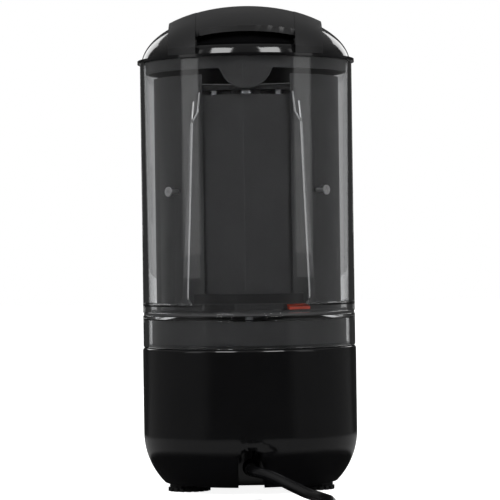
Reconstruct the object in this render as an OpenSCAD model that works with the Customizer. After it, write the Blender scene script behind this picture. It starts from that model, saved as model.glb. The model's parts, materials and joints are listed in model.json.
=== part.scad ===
// Automatic citrus press. A halved fruit stands on a turning reamer inside a clear round
// chamber, and a cup on a lead screw comes down from above and presses it.
// The user's side is -Y, with the door, the spout and the start button. The cord leaves at +Y.

/* [Base housing] */
// Outer radius of the housing
base_r = 75; // [70:0.5:82]
// Height of the housing's lower edge above the table, which is the height of the feet
foot_h = 5.2; // [4.6:0.1:8]
// Height of the housing's top above the table
base_top_z = 100; // [92:0.5:112]
// Radius of the round between the housing's side and its underside
base_corner_r = 50; // [46:0.5:52]
// Height above the table at which that round meets the straight side
base_corner_z = 40; // [38:0.5:44]
// Radius of the round along the housing's top edge
base_edge_r = 2.5; // [1:0.25:4]
// Wall thickness of the housing
base_wall = 3; // [2:0.1:4]
// Thickness of the housing's top deck
deck_t = 3; // [2:0.1:5]
// Thickness of the plate that closes the housing from below
plate_t = 3; // [2:0.1:5]
// Distance from the edge of the bottom plate to the middle of its screws
plate_screw_inset = 8.3; // [6:0.1:10]

/* [Feet] */
// Radius of one rubber foot
foot_r = 14.7; // [10:0.1:15.5]
// Distance from the housing's side to the middle of a foot
foot_inset = 31.8; // [30:0.1:36]
// Front-to-back distance from the axis to the middle of a foot
foot_y = 16.4; // [15.6:0.1:20]
// Number of notches round the tread of a foot
foot_notches = 18; // [8:1:28]

/* [Cord and its outlet] */
// Diameter of the mains cord
cord_d = 7.5; // [6:0.1:8.5]
// Radius of the arch in the housing that the cord leaves through
arch_r = 8.8; // [7:0.1:11]
// Height of the middle of the arch's round top above the table
arch_z = 22.8; // [20:0.1:28]
// Height of the cord above the table where it leaves
exit_z = 17.5; // [16:0.1:22]
// Depth of the pocket behind the arch, from the housing's side
pocket_depth = 35; // [31:0.5:38]
// Length of the strain relief outside the pocket's wall
relief_l = 18; // [12:0.5:19]
// Radius of the strain relief where it starts
relief_r = 6; // [5:0.1:6.5]

/* [Reamer drive] */
// Gear module
gear_module = 1.25; // [1:0.25:1.25]
// Teeth of the gear on the reamer's shaft
output_teeth = 40; // [36:1:44]
// Teeth of the small idler gear
idler_small_teeth = 16; // [14:1:18]
// Teeth of the large idler gear
idler_large_teeth = 36; // [32:1:38]
// Teeth of the pinion on the motor
pinion_teeth = 16; // [14:1:18]
// Face width of the gears
gear_face = 8; // [6:0.5:8]
// Play between the flanks of two meshed teeth
gear_backlash = 0.3; // [0.2:0.05:0.5]
// Radius of the reamer's drive shaft
shaft_r = 4; // [3:0.1:5]
// Radius of the gear motor
motor_r = 17.5; // [14:0.5:20]
// Gap between the gear motor and the bottom plate
motor_gap = 11.8; // [9:0.1:20]
// Depth of the gearbox plate's underside below the housing's top
gearbox_drop = 40; // [38:0.5:42]
// Radius of the gearbox plate
gearbox_r = 54.2; // [53:0.1:60]

/* [Press drive] */
// Distance from the bay's side to the middle of the lead screw
screw_gap = 6.8; // [6.4:0.1:7]
// Radius of the lead screw
screw_r = 2.8; // [2.2:0.1:3]
// Distance from the bay's side to the middle of a guide rod
rod_gap = 7.6; // [7.2:0.1:8]
// Radius of a guide rod
rod_r = 3; // [2.4:0.1:3.2]
// Sideways distance from the axis to a guide rod
rod_x = 22; // [20:0.5:24]
// Radius of the press motor
press_motor_r = 10.5; // [8:0.5:11]
// Gap between the press cup and the bay's side
cup_gap = 3; // [2:0.1:6]
// Wall thickness of the press cup
cup_wall = 2.4; // [1.8:0.1:3.5]
// Height above the chamber's floor at which the cup's rim stops
cup_stop_h = 13; // [11:0.5:30]
// Height of the press carriage
carriage_h = 26; // [18:1:28]

/* [Juice path] */
// Height of the clear collar
ring_h = 22.4; // [21:0.1:30]
// Wall thickness of the clear collar
ring_wall = 3.9; // [3:0.1:5]
// Gap between the clear collar and the juice tray
tray_gap = 2.3; // [2:0.1:3.5]
// Wall thickness of the juice tray
tray_wall = 2.2; // [1.6:0.1:3]
// Largest radius of the reamer
reamer_r = 34; // [28:0.5:36]
// Height of the reamer's cone
reamer_h = 44; // [36:0.5:48]
// Number of ridges on the reamer
reamer_ridges = 8; // [6:1:12]
// Number of slots in each ring of the strainer
strainer_slots = 24; // [16:2:30]
// Length of the spout in front of its pivot
spout_l = 25; // [20:0.5:30]
// Inner half width of the spout
spout_half_w = 8.4; // [7.5:0.1:9]

/* [Press tower] */
// Distance from the outside of the clear chamber in to the tower
tower_inset = 9.7; // [9.2:0.1:11]
// Wall thickness of the tower
tower_wall = 2.4; // [2:0.1:2.8]
// Distance from the tower's outside in to the bay that the fruit stands in
column_depth = 17.8; // [17.5:0.1:18.5]
// Depth of the tower's inner walls below the chamber's rim
bay_drop = 22; // [20:0.5:30]
// Depth of the tower's rim below the chamber's rim
tower_drop = 11; // [9:0.5:16]
// Half width of the window behind the lead screw
window_half_w = 29.6; // [26:0.1:30]
// Height of the window's sill above the tower's floor
window_sill_h = 10.8; // [8:0.1:16]
// Depth of the top of the window's cover below the tower's inner walls
cover_drop = 3.2; // [2.4:0.1:11]

/* [Clear chamber] */
// How far the chamber stands in from the housing's side
shell_step = 0.5; // [0:0.1:1]
// Height of the chamber
shell_h = 174.1; // [160:0.1:190]
// Wall thickness of the chamber at its rim
shell_wall_top = 2.8; // [2.2:0.1:3.2]
// Wall thickness of the chamber at its foot
shell_wall_foot = 4.2; // [3.4:0.1:4.4]
// Half the angle that the door takes round the axis
door_half_angle = 46; // [42:0.5:47]
// Height of the doorway's sill above the chamber's foot
door_sill_h = 9.1; // [8.6:0.1:16]
// Height of the band above the doorway
door_head_h = 27; // [24:0.5:40]
// Height above the chamber's foot of the two screws that hold it to the tower
side_screw_h = 83.6; // [66:0.1:100]
// Angle from the back at which those screws stand
side_screw_angle = 46.5; // [44:0.5:52]
// Distance from the middle to a rib at its foot
rib_foot_x = 42.1; // [40.5:0.1:44]
// Distance from the middle to a rib where it forks
rib_fork_x = 36.5; // [35:0.1:38]
// Depth below the chamber's rim at which a rib forks
rib_fork_drop = 42.3; // [40:0.1:48]
// Width of a rib at its foot
rib_foot_w = 4.4; // [3:0.1:5]
// Width of a rib where it forks
rib_fork_w = 1.8; // [1.4:0.1:2.4]

/* [Lid] */
// How far the lid's flange stands out beyond the chamber
lid_overhang = 1.7; // [1:0.1:3]
// Thickness of the lid's flange
lid_flange_t = 2; // [1.4:0.1:3]
// Width of the lid's flange outside the dome
lid_flange_w = 2.6; // [2:0.1:3.2]
// Height of the dome above its centre
dome_h = 38.4; // [34:0.1:42]
// How far the dome's centre lies below the lid's underside
dome_drop = 1.8; // [1:0.1:2.5]
// Wall thickness of the dome
dome_wall = 2.6; // [2:0.1:3.2]
// Distance from the middle to the inner edge of a side band
band_x0 = 34; // [32:0.1:36]
// Distance from the middle to the outer edge of a side band
band_x1 = 53; // [50:0.1:56]
// How far the side bands stand proud of the dome
band_rise = 3.5; // [2:0.1:4.5]
// How far the grip stands proud of the dome
grip_rise = 3.3; // [2:0.1:4]
// Distance from the dome's foot in to the end of the grip
grip_inset = 9.6; // [8.6:0.1:13]
// Radius of the finger scoops under the grip
scoop_r = 20; // [16:0.5:21]
// Height of the middle of the scoops' round above the lid's underside
scoop_rise = 27.7; // [27:0.1:30]
// How far the clear skirt reaches down into the chamber
skirt_h = 8; // [5:0.1:10]
// Radius of the skirt's round tongue
tongue_r = 18; // [14:0.1:19]

/* [Start button] */
// Depth of the start button's middle below the housing's top
button_drop = 30; // [24:0.5:34]
// Radius of the start button
button_r = 8.5; // [7:0.1:9.5]
// How far the button travels
button_travel = 2.5; // [1.5:0.1:3]

/* [Clearances] */
// Radial play of a shaft, rod or pin in its hole
running_fit = 0.05; // [0.02:0.01:0.1]
// Gap between two pieces that are fixed to each other
seat_gap = 0.1; // [0.05:0.01:0.2]
// Gap between two pieces that move past each other
moving_gap = 0.5; // [0.4:0.05:0.7]
// Gap under a piece that rests on another and lifts off
rest_gap = 0.3; // [0.2:0.05:0.4]

/* [Hidden] */
$fn = 96;

gloss_black = "#101012";
satin_black = "#26262a";
dark_grey = "#3a3b3e";
rubber_black = "#1b1b1c";
clear_plastic = [0.85, 0.9, 0.92, 0.35];
steel = "#b9bcc0";
brass = "#b8964a";
gear_white = "#e6e3d8";
latch_red = "#b0574a";

// ---- Radii and distances from the axis ----
shell_r = base_r - shell_step;
tower_r = shell_r - tower_inset;
bay_r = tower_r - column_depth;
tray_r = shell_r - ring_wall - tray_gap;
lid_flange_r = shell_r + lid_overhang;
dome_r = lid_flange_r - lid_flange_w;
grip_half_l = dome_r - grip_inset;
cup_r = bay_r - cup_gap;
screw_y = bay_r + screw_gap;
rod_y = sqrt(pow(bay_r + rod_gap, 2) - pow(rod_x, 2));
foot_x = base_r - foot_inset;
pocket_y = base_r - pocket_depth;
well_depth = 13;
well_y = base_r - well_depth;
pivot_gap = 4.5;
pivot_y = shell_r + pivot_gap;
spout_reach = pivot_y + spout_l;

// The model's origin is under the middle of its outline, so the axis is moved back by half
// the difference between what stands out in front and what stands out behind.
axis_y = (spout_reach - lid_flange_r) / 2;

// ---- Heights above the table ----
floor_t = 3.6;
shell_seat_t = 1.5;
plate_top_z = foot_h + plate_t;
gearbox_z = base_top_z - gearbox_drop;
button_z = base_top_z - button_drop;
deck_z = base_top_z - deck_t;
ring_top_z = base_top_z + ring_h;
tower_floor_z = ring_top_z;
tower_floor_top = tower_floor_z + floor_t;
shell_z = tower_floor_z + shell_seat_t;
shell_top_z = shell_z + shell_h;
bay_top_z = shell_top_z - bay_drop;
tower_top_z = shell_top_z - tower_drop;
window_z = tower_floor_top + window_sill_h;
cover_top_z = bay_top_z - cover_drop;
door_z = shell_z + door_sill_h;
door_top_z = shell_top_z - door_head_h;
door_h = door_top_z - door_z;
side_screw_z = shell_z + side_screw_h;
rib_fork_z = shell_top_z - rib_fork_drop;
lid_z = shell_top_z + rest_gap;
dome_z = lid_z - dome_drop;

// ---- Common to several pieces ----
// How far a cutting shape reaches past the face that it cuts
past = 1;
// How far one shape reaches into another that it is joined to
merge = 0.5;
screw_shank_r = 1.5;
screw_head_r = 3;
screw_head_t = 2;
screw_hole_gap = 0.2;

module on_axis() {
    translate([0, axis_y, 0]) children();
}

module at_front(angle, distance, height) {
    rotate([0, 0, angle]) translate([0, -distance, height]) children();
}

function housing_radius_at(z) =
    base_r - base_corner_r + sqrt(pow(base_corner_r, 2) - pow(base_corner_z - z, 2));

plate_edge_gap = 1.6;
plate_r = housing_radius_at(foot_h) - base_wall - plate_edge_gap;
plate_screw_d = plate_r - plate_screw_inset;
plate_screw_angle = 38;
plate_screw_angles = [plate_screw_angle, 180 - plate_screw_angle, 180 + plate_screw_angle,
                      360 - plate_screw_angle];

// ---- Base ----
module housing_outline(inset, low, high, edge) {
    r = base_r - inset;
    intersection() {
        union() {
            translate([base_r - base_corner_r, base_corner_z]) circle(r = base_corner_r - inset);
            translate([0, low]) square([base_r - base_corner_r, base_corner_z - low]);
        }
        translate([0, low]) square([r, base_corner_z - low]);
    }
    translate([0, base_corner_z]) square([r, high - edge - base_corner_z]);
    if (edge > 0) {
        translate([0, high - edge]) square([r - edge, edge]);
        intersection() {
            translate([r - edge, high - edge]) circle(r = edge);
            translate([r - edge, high - edge]) square([edge, edge]);
        }
    }
}

module arch_prism(grow, y0, y1) {
    translate([0, y0, 0]) rotate([-90, 0, 0]) linear_extrude(y1 - y0) {
        translate([0, -arch_z]) circle(r = arch_r + grow);
        translate([-arch_r - grow, -arch_z])
            square([2 * (arch_r + grow), arch_z - foot_h + 2 * past]);
    }
}

arch_wall = 2.2;
boss_r = 4;
boss_h = 26;
boss_fin_t = 2.5;
// Middles of the three posts that carry the gearbox plate, clear of the gears
well_post_gap = 14;
post_spots = [[50, 0], [-17, 36.3], [-4, well_post_gap - well_y]];
bush_r = 7;
bush_l = 8;
bush_wall = 3;
bush_flange_r = 9.4;
bush_flange_t = 1.4;
coupler_r = 5;
coupler_gap = 1.2;
register_h = 2;
register_gap = 0.4;
button_step = 1.7;
button_flange_r = button_r + button_step;
well_gap = 0.6;
well_r = button_flange_r + well_gap;
well_wall = 2;
button_flange_drop = 1.1;
button_flange_y = base_r - base_wall - button_flange_drop;
button_boss_y = base_r + rest_gap;
well_front_gap = 1.3;

module plate_boss(angle) {
    at_front(angle, plate_screw_d, plate_top_z) {
        cylinder(r = boss_r, h = boss_h);
        translate([-boss_fin_t / 2, -base_r, 0]) cube([boss_fin_t, base_r, boss_h]);
    }
}

module base_housing() color(gloss_black) on_axis() difference() {
    union() {
        difference() {
            rotate_extrude() housing_outline(0, foot_h, base_top_z, base_edge_r);
            rotate_extrude() housing_outline(base_wall, foot_h - past, deck_z, 0);
        }
        intersection() {
            rotate_extrude() housing_outline(base_wall / 2, foot_h, deck_z + deck_t / 2, 0);
            union() {
                arch_prism(arch_wall, pocket_y, base_r);
                for (angle = plate_screw_angles) plate_boss(angle);
                for (spot = post_spots)
                    translate([spot[0], spot[1], gearbox_z + plate_t])
                        cylinder(r = boss_r, h = base_top_z - gearbox_z - plate_t);
                translate([0, 0, deck_z - bush_l]) cylinder(r = bush_r + bush_wall, h = bush_l + past);
            }
        }
        translate([0, 0, base_top_z - merge]) difference() {
            cylinder(r = shell_r - ring_wall - register_gap, h = register_h + merge);
            translate([0, 0, -past]) cylinder(r = tray_r + register_gap, h = register_h + 3 * past);
        }
        toward_front(well_y, button_z) cylinder(r = well_r + well_wall, h = button_boss_y - well_y);
    }
    arch_prism(0, pocket_y + arch_wall, base_r + past);
    translate([0, pocket_y - past, exit_z]) rotate([-90, 0, 0])
        cylinder(r = relief_neck_r + seat_gap, h = arch_wall + 2 * past);
    translate([0, 0, deck_z - bush_l - past])
        cylinder(r = bush_r + running_fit, h = bush_l + deck_t + 2 * past);
    translate([0, screw_y, deck_z - past]) cylinder(r = coupler_r + coupler_gap, h = deck_t + 2 * past);
    toward_front(well_y - past, button_z)
        cylinder(r = well_r, h = button_flange_y + well_front_gap - well_y);
    toward_front(well_y - past, button_z) cylinder(r = button_r + rest_gap, h = base_r);
    for (angle = plate_screw_angles)
        at_front(angle, plate_screw_d, plate_top_z - past)
            cylinder(r = screw_shank_r, h = plate_screw_l + past);
    for (spot = post_spots)
        translate([spot[0], spot[1], gearbox_z + plate_t - past])
            cylinder(r = screw_shank_r, h = gearbox_screw_l);
}

plate_arch_gap = 0.4;
plate_screw_l = 14;
gearbox_screw_l = 12;
plate_head_sink = 1.2;
vent_rows = 3;
vent_pitch = 7;
vent_w = 2.5;
vent_l = 28;

module bottom_plate() color(satin_black) on_axis() difference() {
    union() {
        translate([0, 0, foot_h]) cylinder(r = plate_r, h = plate_t);
        board_posts(board_post_r, foot_h + past, board_z);
        board_posts(board_peg_r, foot_h + past, board_z + board_t);
    }
    arch_prism(arch_wall + plate_arch_gap, pocket_y - plate_arch_gap, base_r);
    for (sx = [-1, 1], sy = [-1, 1])
        translate([sx * foot_x, sy * foot_y, foot_h - past])
            cylinder(r = foot_peg_r + seat_gap, h = plate_t + 2 * past);
    for (angle = plate_screw_angles)
        at_front(angle, plate_screw_d, foot_h - past) {
            cylinder(r = screw_shank_r + screw_hole_gap, h = plate_t + 2 * past);
            cylinder(r = screw_head_r + rest_gap, h = plate_head_sink + past);
        }
    for (row = [-vent_rows : vent_rows])
        translate([-vent_l / 2, row * vent_pitch - vent_w / 2, foot_h - past])
            cube([vent_l, vent_w, plate_t + 2 * past]);
}

foot_peg_r = 3;
foot_waist = 1.6;
peg_l = 1.6;
tread_h = 2.4;
notch_w = 1.8;
notch_depth = 1.8;

module foot(sx, sy) color(rubber_black) on_axis() translate([sx * foot_x, sy * foot_y, 0]) {
    difference() {
        union() {
            cylinder(r = foot_r, h = tread_h);
            translate([0, 0, tread_h])
                cylinder(r = foot_r - foot_waist, h = foot_h - tread_h - seat_gap);
            translate([0, 0, tread_h]) cylinder(r = foot_peg_r, h = foot_h + plate_t + peg_l - tread_h);
        }
        for (i = [0 : foot_notches - 1])
            rotate([0, 0, i * 360 / foot_notches])
                translate([foot_r - notch_depth, -notch_w / 2, -past])
                    cube([notch_depth + past, notch_w, tread_h + 2 * past]);
        translate([0, 0, -past]) cylinder(r = foot_r / 2, h = 2 * past);
    }
}

module foot_rear_left() foot(-1, 1);
module foot_rear_right() foot(1, 1);
module foot_front_left() foot(-1, -1);
module foot_front_right() foot(1, -1);

cross_w = 0.8;
cross_share = 1.2;

// A cross-head screw whose head stands on z = 0 with its drive downward.
module pan_screw(head_r, head_t, shank_r, length) {
    cross_l = head_r * cross_share;
    difference() {
        cylinder(r = head_r, h = head_t);
        for (turn = [0, 90]) rotate([0, 0, turn])
            translate([-cross_l / 2, -cross_w / 2, -past]) cube([cross_l, cross_w, head_t / 2 + past]);
    }
    translate([0, 0, head_t]) cylinder(r = shank_r, h = length);
}

board_inset = 38;
board_x = base_r - board_inset;
board_y = 1;
board_l = 46;
board_w = 28;
board_z = plate_top_z + 5.8;
board_t = 1.6;
board_margin = 3;
board_peg_r = 1.1;
board_post_r = 2.4;

module board_posts(r, low, high) {
    for (sx = [-1, 1], sy = [-1, 1])
        translate([board_x + sx * (board_w / 2 - board_margin),
                   board_y + sy * (board_l / 2 - board_margin), low])
            cylinder(r = r, h = high - low);
}

// Corner and size of the transformer and the relay, and the middle, radius and height of the
// capacitor, all from the middle of the board.
transformer_at = [-9, 2];
transformer_size = [16, 13, 12];
relay_at = [-10, -16];
relay_size = [14, 12, 9];
capacitor_at = [8, -6];
capacitor_r = 4;
capacitor_h = 14;

module control_board() color("#2f5d3a") on_axis() difference() {
    union() {
        translate([board_x - board_w / 2, board_y - board_l / 2, board_z])
            cube([board_w, board_l, board_t]);
        translate([board_x, board_y, board_z + board_t / 2]) {
            translate([transformer_at[0], transformer_at[1], 0]) cube(transformer_size);
            translate([relay_at[0], relay_at[1], 0]) cube(relay_size);
            translate([capacitor_at[0], capacitor_at[1], 0]) cylinder(r = capacitor_r, h = capacitor_h);
        }
    }
    board_posts(board_peg_r + seat_gap, board_z - past, board_z + board_t + past);
}

module plate_screws() color(steel) on_axis() for (angle = plate_screw_angles)
    at_front(angle, plate_screw_d, foot_h + plate_head_sink - screw_head_t)
        pan_screw(screw_head_r, screw_head_t, screw_shank_r - seat_gap, plate_screw_l);

// ---- Reamer drive ----
pressure_angle = 20;
output_pitch_r = gear_module * output_teeth / 2;
idler_distance = gear_module * (output_teeth + idler_small_teeth) / 2;
motor_distance = gear_module * (idler_large_teeth + pinion_teeth) / 2;
idler_angle = 210;
motor_angle = -10;
idler_spot = idler_distance * [cos(idler_angle), sin(idler_angle)];
motor_spot = idler_spot + motor_distance * [cos(motor_angle), sin(motor_angle)];
low_gear_z = gearbox_z + plate_t + 3;
gear_step = 2;
high_gear_z = low_gear_z + gear_face + gear_step;
axle_r = 2.5;
motor_mouth_r = 7;
lightening_r = 9;
lightening_spots = [[28, 24], [30, -28], [-38, 22]];
notch_margin = 3;
notch_y = well_y - 8.6;

function involute(angle) = tan(angle) * 180 / PI - angle;
function half_tooth(r, teeth) =
    let (pitch_r = gear_module * teeth / 2, base_circle_r = pitch_r * cos(pressure_angle))
    90 / teeth - gear_backlash / (4 * pitch_r) * 180 / PI + involute(pressure_angle)
        - involute(acos(base_circle_r / max(r, base_circle_r)));
function gear_outline(teeth) =
    let (
        pitch_r = gear_module * teeth / 2,
        tip_r = pitch_r + gear_module,
        root_r = pitch_r - 1.25 * gear_module,
        flank_r = max(root_r, pitch_r * cos(pressure_angle)),
        radii = [root_r, flank_r, (flank_r + tip_r) / 2, tip_r]
    )
    [for (i = [0 : teeth - 1], side = [-1, 1], step = [0 : 3])
        let (r = side < 0 ? radii[step] : radii[3 - step],
             a = i * 360 / teeth + side * half_tooth(r, teeth))
        r * [cos(a), sin(a)]];

module gear(teeth, face, turn) {
    linear_extrude(face) rotate(turn) polygon(gear_outline(teeth));
}

module gearbox_plate() color(satin_black) on_axis() difference() {
    translate([0, 0, gearbox_z]) cylinder(r = gearbox_r, h = plate_t);
    gearbox_hole([0, screw_y], press_motor_r + 2);
    gearbox_hole([0, 0], shaft_r + running_fit);
    gearbox_hole(idler_spot, axle_r + running_fit);
    gearbox_hole(motor_spot, motor_mouth_r);
    for (spot = post_spots) gearbox_hole(spot, screw_shank_r + screw_hole_gap);
    for (spot = lightening_spots) gearbox_hole(spot, lightening_r);
    translate([-well_r - notch_margin, -base_r, gearbox_z - past])
        cube([2 * (well_r + notch_margin), base_r - notch_y, plate_t + 2 * past]);
}

module gearbox_hole(spot, r) {
    translate([spot[0], spot[1], gearbox_z - past]) cylinder(r = r, h = plate_t + 2 * past);
}

module gearbox_screws() color(steel) on_axis() for (spot = post_spots)
    translate([spot[0], spot[1], gearbox_z - screw_head_t])
        pan_screw(screw_head_r, screw_head_t, screw_shank_r - seat_gap, gearbox_screw_l);

motor_z = plate_top_z + motor_gap;
motor_neck_l = 12;
motor_neck_step = 1;
motor_cap_r = 6;
motor_cap_h = 3;
motor_nose_r = 6.6;
motor_nose_h = 2;
terminal_t = 0.8;
terminal_w = 6;
terminal_l = 6;
motor_bore_depth = 20;
pinion_shaft_depth = 18;

// A flat terminal that stands out below a motor, at a distance x from its middle.
module terminal(x, w, top_z) {
    translate([x - terminal_t / 2, -w / 2, top_z - terminal_l])
        cube([terminal_t, w, terminal_l + past]);
}

module gear_motor() color(steel) on_axis() translate([motor_spot[0], motor_spot[1], 0])
    difference() {
        union() {
            translate([0, 0, motor_z])
                cylinder(r = motor_r, h = gearbox_z - motor_neck_l - motor_z);
            translate([0, 0, gearbox_z - motor_neck_l])
                cylinder(r = motor_r - motor_neck_step, h = motor_neck_l);
            translate([0, 0, motor_z - motor_cap_h]) cylinder(r = motor_cap_r, h = motor_cap_h + past);
            translate([0, 0, gearbox_z - merge]) cylinder(r = motor_nose_r, h = motor_nose_h + merge);
            for (sx = [-1, 1]) terminal(sx * motor_r / 2, terminal_w, motor_z);
        }
        translate([0, 0, gearbox_z - motor_bore_depth])
            cylinder(r = axle_r + running_fit, h = motor_bore_depth + motor_nose_h + past);
    }

module motor_pinion() color(gear_white) on_axis()
    translate([motor_spot[0], motor_spot[1], 0]) {
        translate([0, 0, low_gear_z])
            gear(pinion_teeth, gear_face, motor_angle + 180 - 180 / pinion_teeth);
        translate([0, 0, gearbox_z - pinion_shaft_depth])
            cylinder(r = axle_r, h = low_gear_z - gearbox_z + pinion_shaft_depth + past);
    }

axle_collar_w = 2;
axle_collar_h = 2.4;
axle_end_l = 5;

module idler_axle() color(steel) on_axis() translate([idler_spot[0], idler_spot[1], 0]) {
    translate([0, 0, gearbox_z])
        cylinder(r = axle_r, h = high_gear_z + gear_face + axle_end_l - gearbox_z);
    translate([0, 0, gearbox_z + plate_t]) cylinder(r = axle_r + axle_collar_w, h = axle_collar_h);
}

idler_hub_r = 8;
idler_neck_r = 7;
web_depth = 2;
web_r = 17;

module idler_gear() color(gear_white) on_axis() translate([idler_spot[0], idler_spot[1], 0])
    difference() {
        union() {
            translate([0, 0, low_gear_z]) gear(idler_large_teeth, gear_face, motor_angle);
            translate([0, 0, low_gear_z + gear_face - merge])
                cylinder(r = idler_neck_r, h = gear_step + 2 * merge);
            translate([0, 0, high_gear_z])
                gear(idler_small_teeth, gear_face, idler_angle + 180 - 180 / idler_small_teeth);
        }
        translate([0, 0, low_gear_z - past])
            cylinder(r = axle_r + running_fit, h = 2 * gear_face + gear_step + 2 * past);
        difference() {
            translate([0, 0, low_gear_z + gear_face - web_depth]) cylinder(r = web_r, h = web_depth + past);
            translate([0, 0, low_gear_z]) cylinder(r = idler_hub_r, h = 2 * gear_face);
        }
    }

reamer_lift = 4.6;
reamer_z = tower_floor_top + reamer_lift;
hex_r = 3.4;
hex_l = 14;
hex_gap = 0.12;
shaft_end_l = 3;
shaft_collar_w = 2.5;
shaft_collar_h = 2;
shaft_collar_gap = 0.4;

module drive_shaft() color(steel) on_axis() {
    translate([0, 0, gearbox_z - shaft_end_l])
        cylinder(r = shaft_r, h = reamer_z - past - gearbox_z + shaft_end_l);
    translate([0, 0, reamer_z - 2 * past]) cylinder(r = hex_r, h = hex_l + 2 * past, $fn = 6);
    translate([0, 0, gearbox_z + plate_t + shaft_collar_gap])
        cylinder(r = shaft_r + shaft_collar_w, h = shaft_collar_h);
}

output_hub_w = 4;
output_hub_drop = 5;
output_hub_rise = 1;
web_hole_r = 4;
web_holes = 6;
web_hole_d = (output_pitch_r + shaft_r) / 2 + 1;

module output_gear() color(gear_white) on_axis() difference() {
    union() {
        translate([0, 0, high_gear_z]) gear(output_teeth, gear_face, idler_angle);
        translate([0, 0, high_gear_z - output_hub_drop])
            cylinder(r = shaft_r + output_hub_w, h = output_hub_drop + gear_face + output_hub_rise);
    }
    translate([0, 0, high_gear_z - output_hub_drop - past])
        cylinder(r = shaft_r + running_fit,
                 h = output_hub_drop + gear_face + output_hub_rise + 2 * past);
    for (i = [0 : web_holes - 1]) rotate([0, 0, i * 360 / web_holes])
        translate([web_hole_d, 0, high_gear_z - past]) cylinder(r = web_hole_r, h = gear_face + 2 * past);
}

module shaft_bush() color(brass) on_axis() difference() {
    union() {
        translate([0, 0, deck_z - bush_l]) cylinder(r = bush_r, h = bush_l + deck_t + 2 * seat_gap);
        translate([0, 0, base_top_z + seat_gap]) cylinder(r = bush_flange_r, h = bush_flange_t);
    }
    translate([0, 0, deck_z - bush_l - past])
        cylinder(r = shaft_r + running_fit, h = bush_l + deck_t + bush_flange_t + 3 * past);
}

// ---- Press drive ----
coupler_z = base_top_z + 2;
coupler_h = 11;
coupler_slot_w = 1;
motor_shaft_r = 2;
press_shaft_l = 10;
press_motor_drop = 6;
press_cap_h = 3;
press_cap_share = 0.45;
press_terminal_w = 4;

module press_motor() color(steel) on_axis() translate([0, screw_y, 0]) difference() {
    union() {
        translate([0, 0, gearbox_z - press_motor_drop])
            cylinder(r = press_motor_r, h = deck_z - gearbox_z + press_motor_drop);
        translate([0, 0, gearbox_z - press_motor_drop - press_cap_h])
            cylinder(r = press_motor_r * press_cap_share, h = press_cap_h + past);
        for (sx = [-1, 1])
            terminal(sx * press_motor_r / 2, press_terminal_w, gearbox_z - press_motor_drop);
    }
    translate([0, 0, deck_z - press_shaft_l - 2 * past])
        cylinder(r = motor_shaft_r + running_fit, h = press_shaft_l + 3 * past);
}

module screw_coupler() color(steel) on_axis() translate([0, screw_y, 0]) difference() {
    union() {
        translate([0, 0, coupler_z]) cylinder(r = coupler_r, h = coupler_h);
        translate([0, 0, deck_z - press_shaft_l])
            cylinder(r = motor_shaft_r, h = coupler_z - deck_z + press_shaft_l + past);
    }
    translate([0, 0, coupler_z + coupler_h / 2])
        cylinder(r = screw_r + running_fit, h = coupler_h);
    translate([-coupler_r - past, -coupler_slot_w / 2, coupler_z + coupler_h / 2])
        cube([2 * (coupler_r + past), coupler_slot_w, coupler_h]);
}

top_plate_t = 3;
screw_end_l = 5;
screw_collar_w = 1.6;
screw_collar_h = 2.5;

module lead_screw() color(steel) on_axis() translate([0, screw_y, 0]) {
    translate([0, 0, coupler_z + coupler_h / 2 + seat_gap])
        cylinder(r = screw_r, h = bay_top_z + screw_end_l - coupler_z - coupler_h / 2);
    translate([0, 0, bay_top_z - screw_collar_h - moving_gap])
        cylinder(r = screw_r + screw_collar_w, h = screw_collar_h);
}

bush_small_r = 4.6;
bush_small_lip = 1.5;
bush_small_lip_t = 1.2;

module screw_bush() color(brass) on_axis() translate([0, screw_y, bay_top_z]) difference() {
    union() {
        cylinder(r = bush_small_r, h = top_plate_t + seat_gap + bush_small_lip_t / 2);
        translate([0, 0, top_plate_t + seat_gap])
            cylinder(r = bush_small_r + bush_small_lip, h = bush_small_lip_t);
    }
    translate([0, 0, -past]) cylinder(r = screw_r + running_fit, h = top_plate_t + 5 * past);
}

rod_seat_depth = 2.1;

module guide_rod(side) color(steel) on_axis() translate([side * rod_x, rod_y, 0])
    translate([0, 0, tower_floor_top - rod_seat_depth])
        cylinder(r = rod_r, h = bay_top_z - tower_floor_top + rod_seat_depth + top_plate_t / 2);

module guide_rod_left() guide_rod(-1);
module guide_rod_right() guide_rod(1);

// ---- Start button ----
module toward_front(y, z) {
    translate([0, -y, z]) rotate([90, 0, 0]) children();
}

button_rise = 1.6;
button_face_y = base_r + button_rise;
button_flange_t = 1.6;
button_bevel = 1;
button_stem_r = 3.2;
button_stem_gap = 0.4;
spring_r = 4.6;
spring_wire_r = 0.5;
spring_turns = 5;

module start_button() color(steel) on_axis() {
    toward_front(button_flange_y - button_flange_t, button_z)
        cylinder(r = button_flange_r, h = button_flange_t);
    toward_front(button_flange_y - seat_gap, button_z)
        cylinder(r = button_r, h = button_face_y - button_flange_y - button_bevel + seat_gap);
    toward_front(button_face_y - button_bevel, button_z)
        cylinder(r1 = button_r, r2 = button_r - button_bevel, h = button_bevel);
    toward_front(well_y + button_travel + button_stem_gap, button_z)
        cylinder(r = button_stem_r, h = button_flange_y - well_y - button_travel - button_stem_gap - past);
}

// The spring's middle turns stand for its coils. Its ends lie a seat's gap from the switch
// and from the button's flange.
module button_spring() color(steel) on_axis() {
    low = well_y + seat_gap + spring_wire_r;
    high = button_flange_y - button_flange_t - seat_gap - spring_wire_r;
    for (i = [0 : spring_turns - 1])
        toward_front(low + i * (high - low) / (spring_turns - 1), button_z)
            rotate_extrude() translate([spring_r, 0]) circle(r = spring_wire_r, $fn = 16);
}

bezel_w = 3.4;
bezel_t = 0.8;
switch_half_w = 10;
switch_half_h = 9;
switch_t = 7;
plunger_r = 1.6;
plunger_h = 0.3;

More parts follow.
